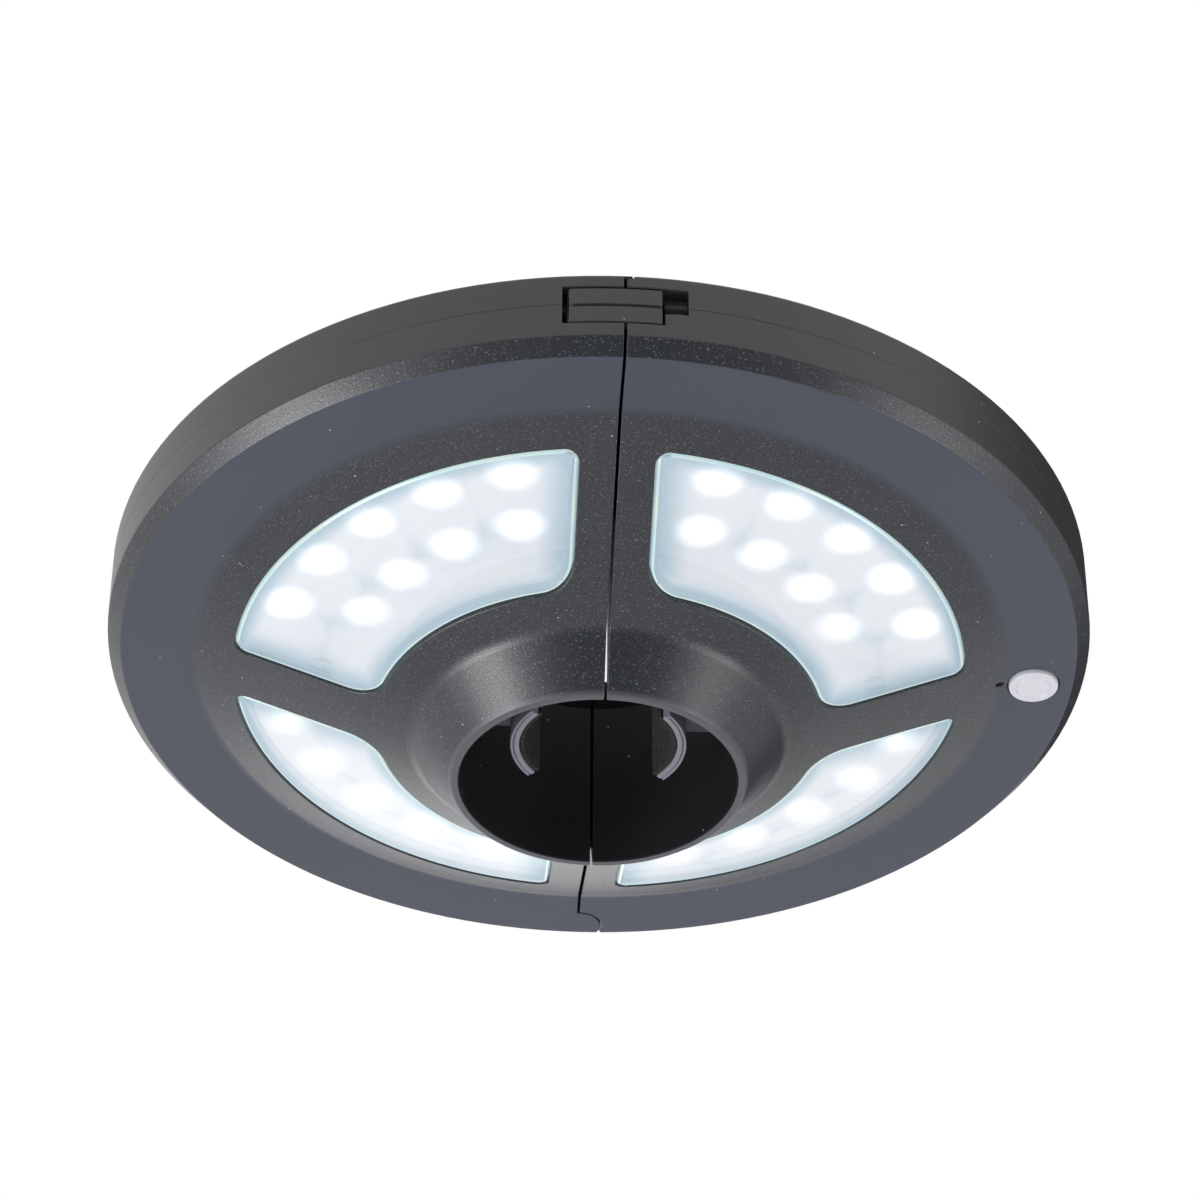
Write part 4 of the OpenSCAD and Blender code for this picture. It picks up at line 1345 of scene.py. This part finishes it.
@dataclass
class Studio:
    """The camera at the photograph's viewing angle, a pale floor and soft light."""

    focal: float = 124.73
    sensor: float = 36.0
    distance: float = 956.25
    below_deg: float = 37.775
    roll_deg: float = -0.247
    turn_deg: float = 2.742
    shift_right: float = 0.302
    shift_up: float = 13.521
    sight_m: float = 20.0
    surround: float = 0.85
    floor_z: float = -1300.0
    floor_r: float = 3000.0
    floor_fade: Span = (1050.0, 2850.0)
    softboxes: tuple[Panel, ...] = (
        Panel("key_softbox", (-0.74, -0.16, -0.6), 1500, 600, 15.5),
        Panel("fill_softbox", (0.74, -0.16, -0.6), 1500, 600, 6.5),
        Panel("far_softbox", (-0.15, 0.99, 0.02), 1500, 800, 2.2),
    )
    flags: tuple[Panel, ...] = (
        Panel("camera_flag", (0.1, -0.75, -0.62), 1250, 1700),
        Panel("right_flag", (0.8, 0.55, 0.5), 1300, 1500),
    )

    def camera(self) -> None:
        """Places the camera, which looks up at the lamp's face from the latch's side."""
        below = math.radians(self.below_deg)
        aim = Matrix.Rotation(math.radians(90.0) + below, 3, "X")
        aim = aim @ Matrix.Rotation(math.radians(-self.roll_deg), 3, "Z")
        offset = aim @ Vector((self.shift_right, self.shift_up, self.distance)) * MM
        turn = Matrix.Rotation(math.radians(-self.turn_deg), 4, "Z")
        data = bpy.data.cameras.new("camera")
        data.lens = self.focal
        data.sensor_width = self.sensor
        data.clip_end = self.sight_m
        made = linked("camera", data)
        made.matrix_world = turn @ (Matrix.Translation(offset) @ aim.to_4x4())
        bpy.context.scene.camera = made

    def seen(self, g: NodeCanvas) -> Socket:
        """1 for rays from the camera or from gloss or glass, and 0 for the light itself."""
        path = g.node("ShaderNodeLightPath")
        gloss = g.larger(path.outputs["Is Glossy Ray"], path.outputs["Is Transmission Ray"])
        return g.larger(path.outputs["Is Camera Ray"], gloss)

    def world(self) -> None:
        """A white surround that lights the lamp evenly."""
        made = bpy.data.worlds.new("surround")
        made.use_nodes = True
        g = NodeCanvas(made.node_tree)
        g.tree.nodes.clear()
        strength = g.math("MULTIPLY_ADD", self.seen(g), 1.0 - self.surround, self.surround)
        back = g.first("ShaderNodeBackground", {"Color": "ffffff", "Strength": strength})
        g.node("ShaderNodeOutputWorld", {"Surface": back})
        bpy.context.scene.world = made

    def floor(self) -> None:
        """A pale round floor well below the lamp, which fades to white at its edge."""
        work = bmesh.new()
        bmesh.ops.create_circle(
            work, cap_ends=True, segments=96, radius=self.floor_r * MM,
            matrix=Matrix.Translation((0, 0, self.floor_z * MM)),
        )
        g = ShaderGraph("pale_floor")
        mottle = g.mixed(g.noise(Noise(60.0, detail=3.0)), "dcdcdc", "e2e2e2")
        matt = g.first("ShaderNodeBsdfPrincipled", {"Base Color": mottle, "Roughness": 0.9})
        white = g.first("ShaderNodeEmission", {"Color": "ffffff", "Strength": 1.0})
        share = g.times(g.fade(g.radius, *self.floor_fade), self.seen(g))
        g.ended(g.first("ShaderNodeMixShader", {0: share, 1: matt, 2: white}))
        self.staged(mesh_of(work, "floor"), g.material)

    def staged(self, mesh: bpy.types.Mesh, material: Material) -> bpy.types.Object:
        """Adds a piece of the studio, named as its mesh, and returns it."""
        mesh.materials.append(material)
        made = linked(mesh.name, mesh)
        return made

    def softbox(self, panel: Panel) -> None:
        """Adds a square softbox that faces the lamp."""
        data = bpy.data.lights.new(panel.name, "AREA")
        data.shape = "SQUARE"
        data.size = panel.width * MM
        data.energy = panel.watts
        linked(panel.name, data).matrix_world = panel.placed()

    def flag(self, panel: Panel) -> None:
        """Adds a dark card that only shows as a reflection in the plastic."""
        work = bmesh.new()
        bmesh.ops.create_grid(
            work, x_segments=1, y_segments=1, size=panel.width * MM / 2, matrix=panel.placed()
        )
        g = ShaderGraph(panel.name)
        felt = g.mixed(g.noise(Noise(40.0)), "202020", "262626")
        g.surface(Base_Color=felt, Roughness=1.0, Specular_IOR_Level=0.0)
        made = self.staged(mesh_of(work, panel.name), g.material)
        for ray in ("camera", "diffuse", "transmission", "shadow", "volume_scatter"):
            setattr(made, f"visible_{ray}", False)

    def build(self) -> None:
        """Sets up the camera, the surround, the floor, the lamps and the cards."""
        self.camera()
        self.world()
        self.floor()
        for panel in self.softboxes:
            self.softbox(panel)
        for panel in self.flags:
            self.flag(panel)
        bpy.context.scene.view_settings.view_transform = "Standard"


def main() -> None:
    """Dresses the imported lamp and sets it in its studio."""
    logging.basicConfig(level=logging.INFO, format="%(name)s %(message)s")
    Studio().build()
    palette = Palette()
    palette.dress_nodes()
    Housing(palette).build()
    Lamps(palette).build()
    SmallMouldings(palette).build()
    Button(palette).build()
    Cells(palette).build()
    Fasteners(palette).build()
    JawSprings(palette).build()


if __name__ == "__main__":
    main()
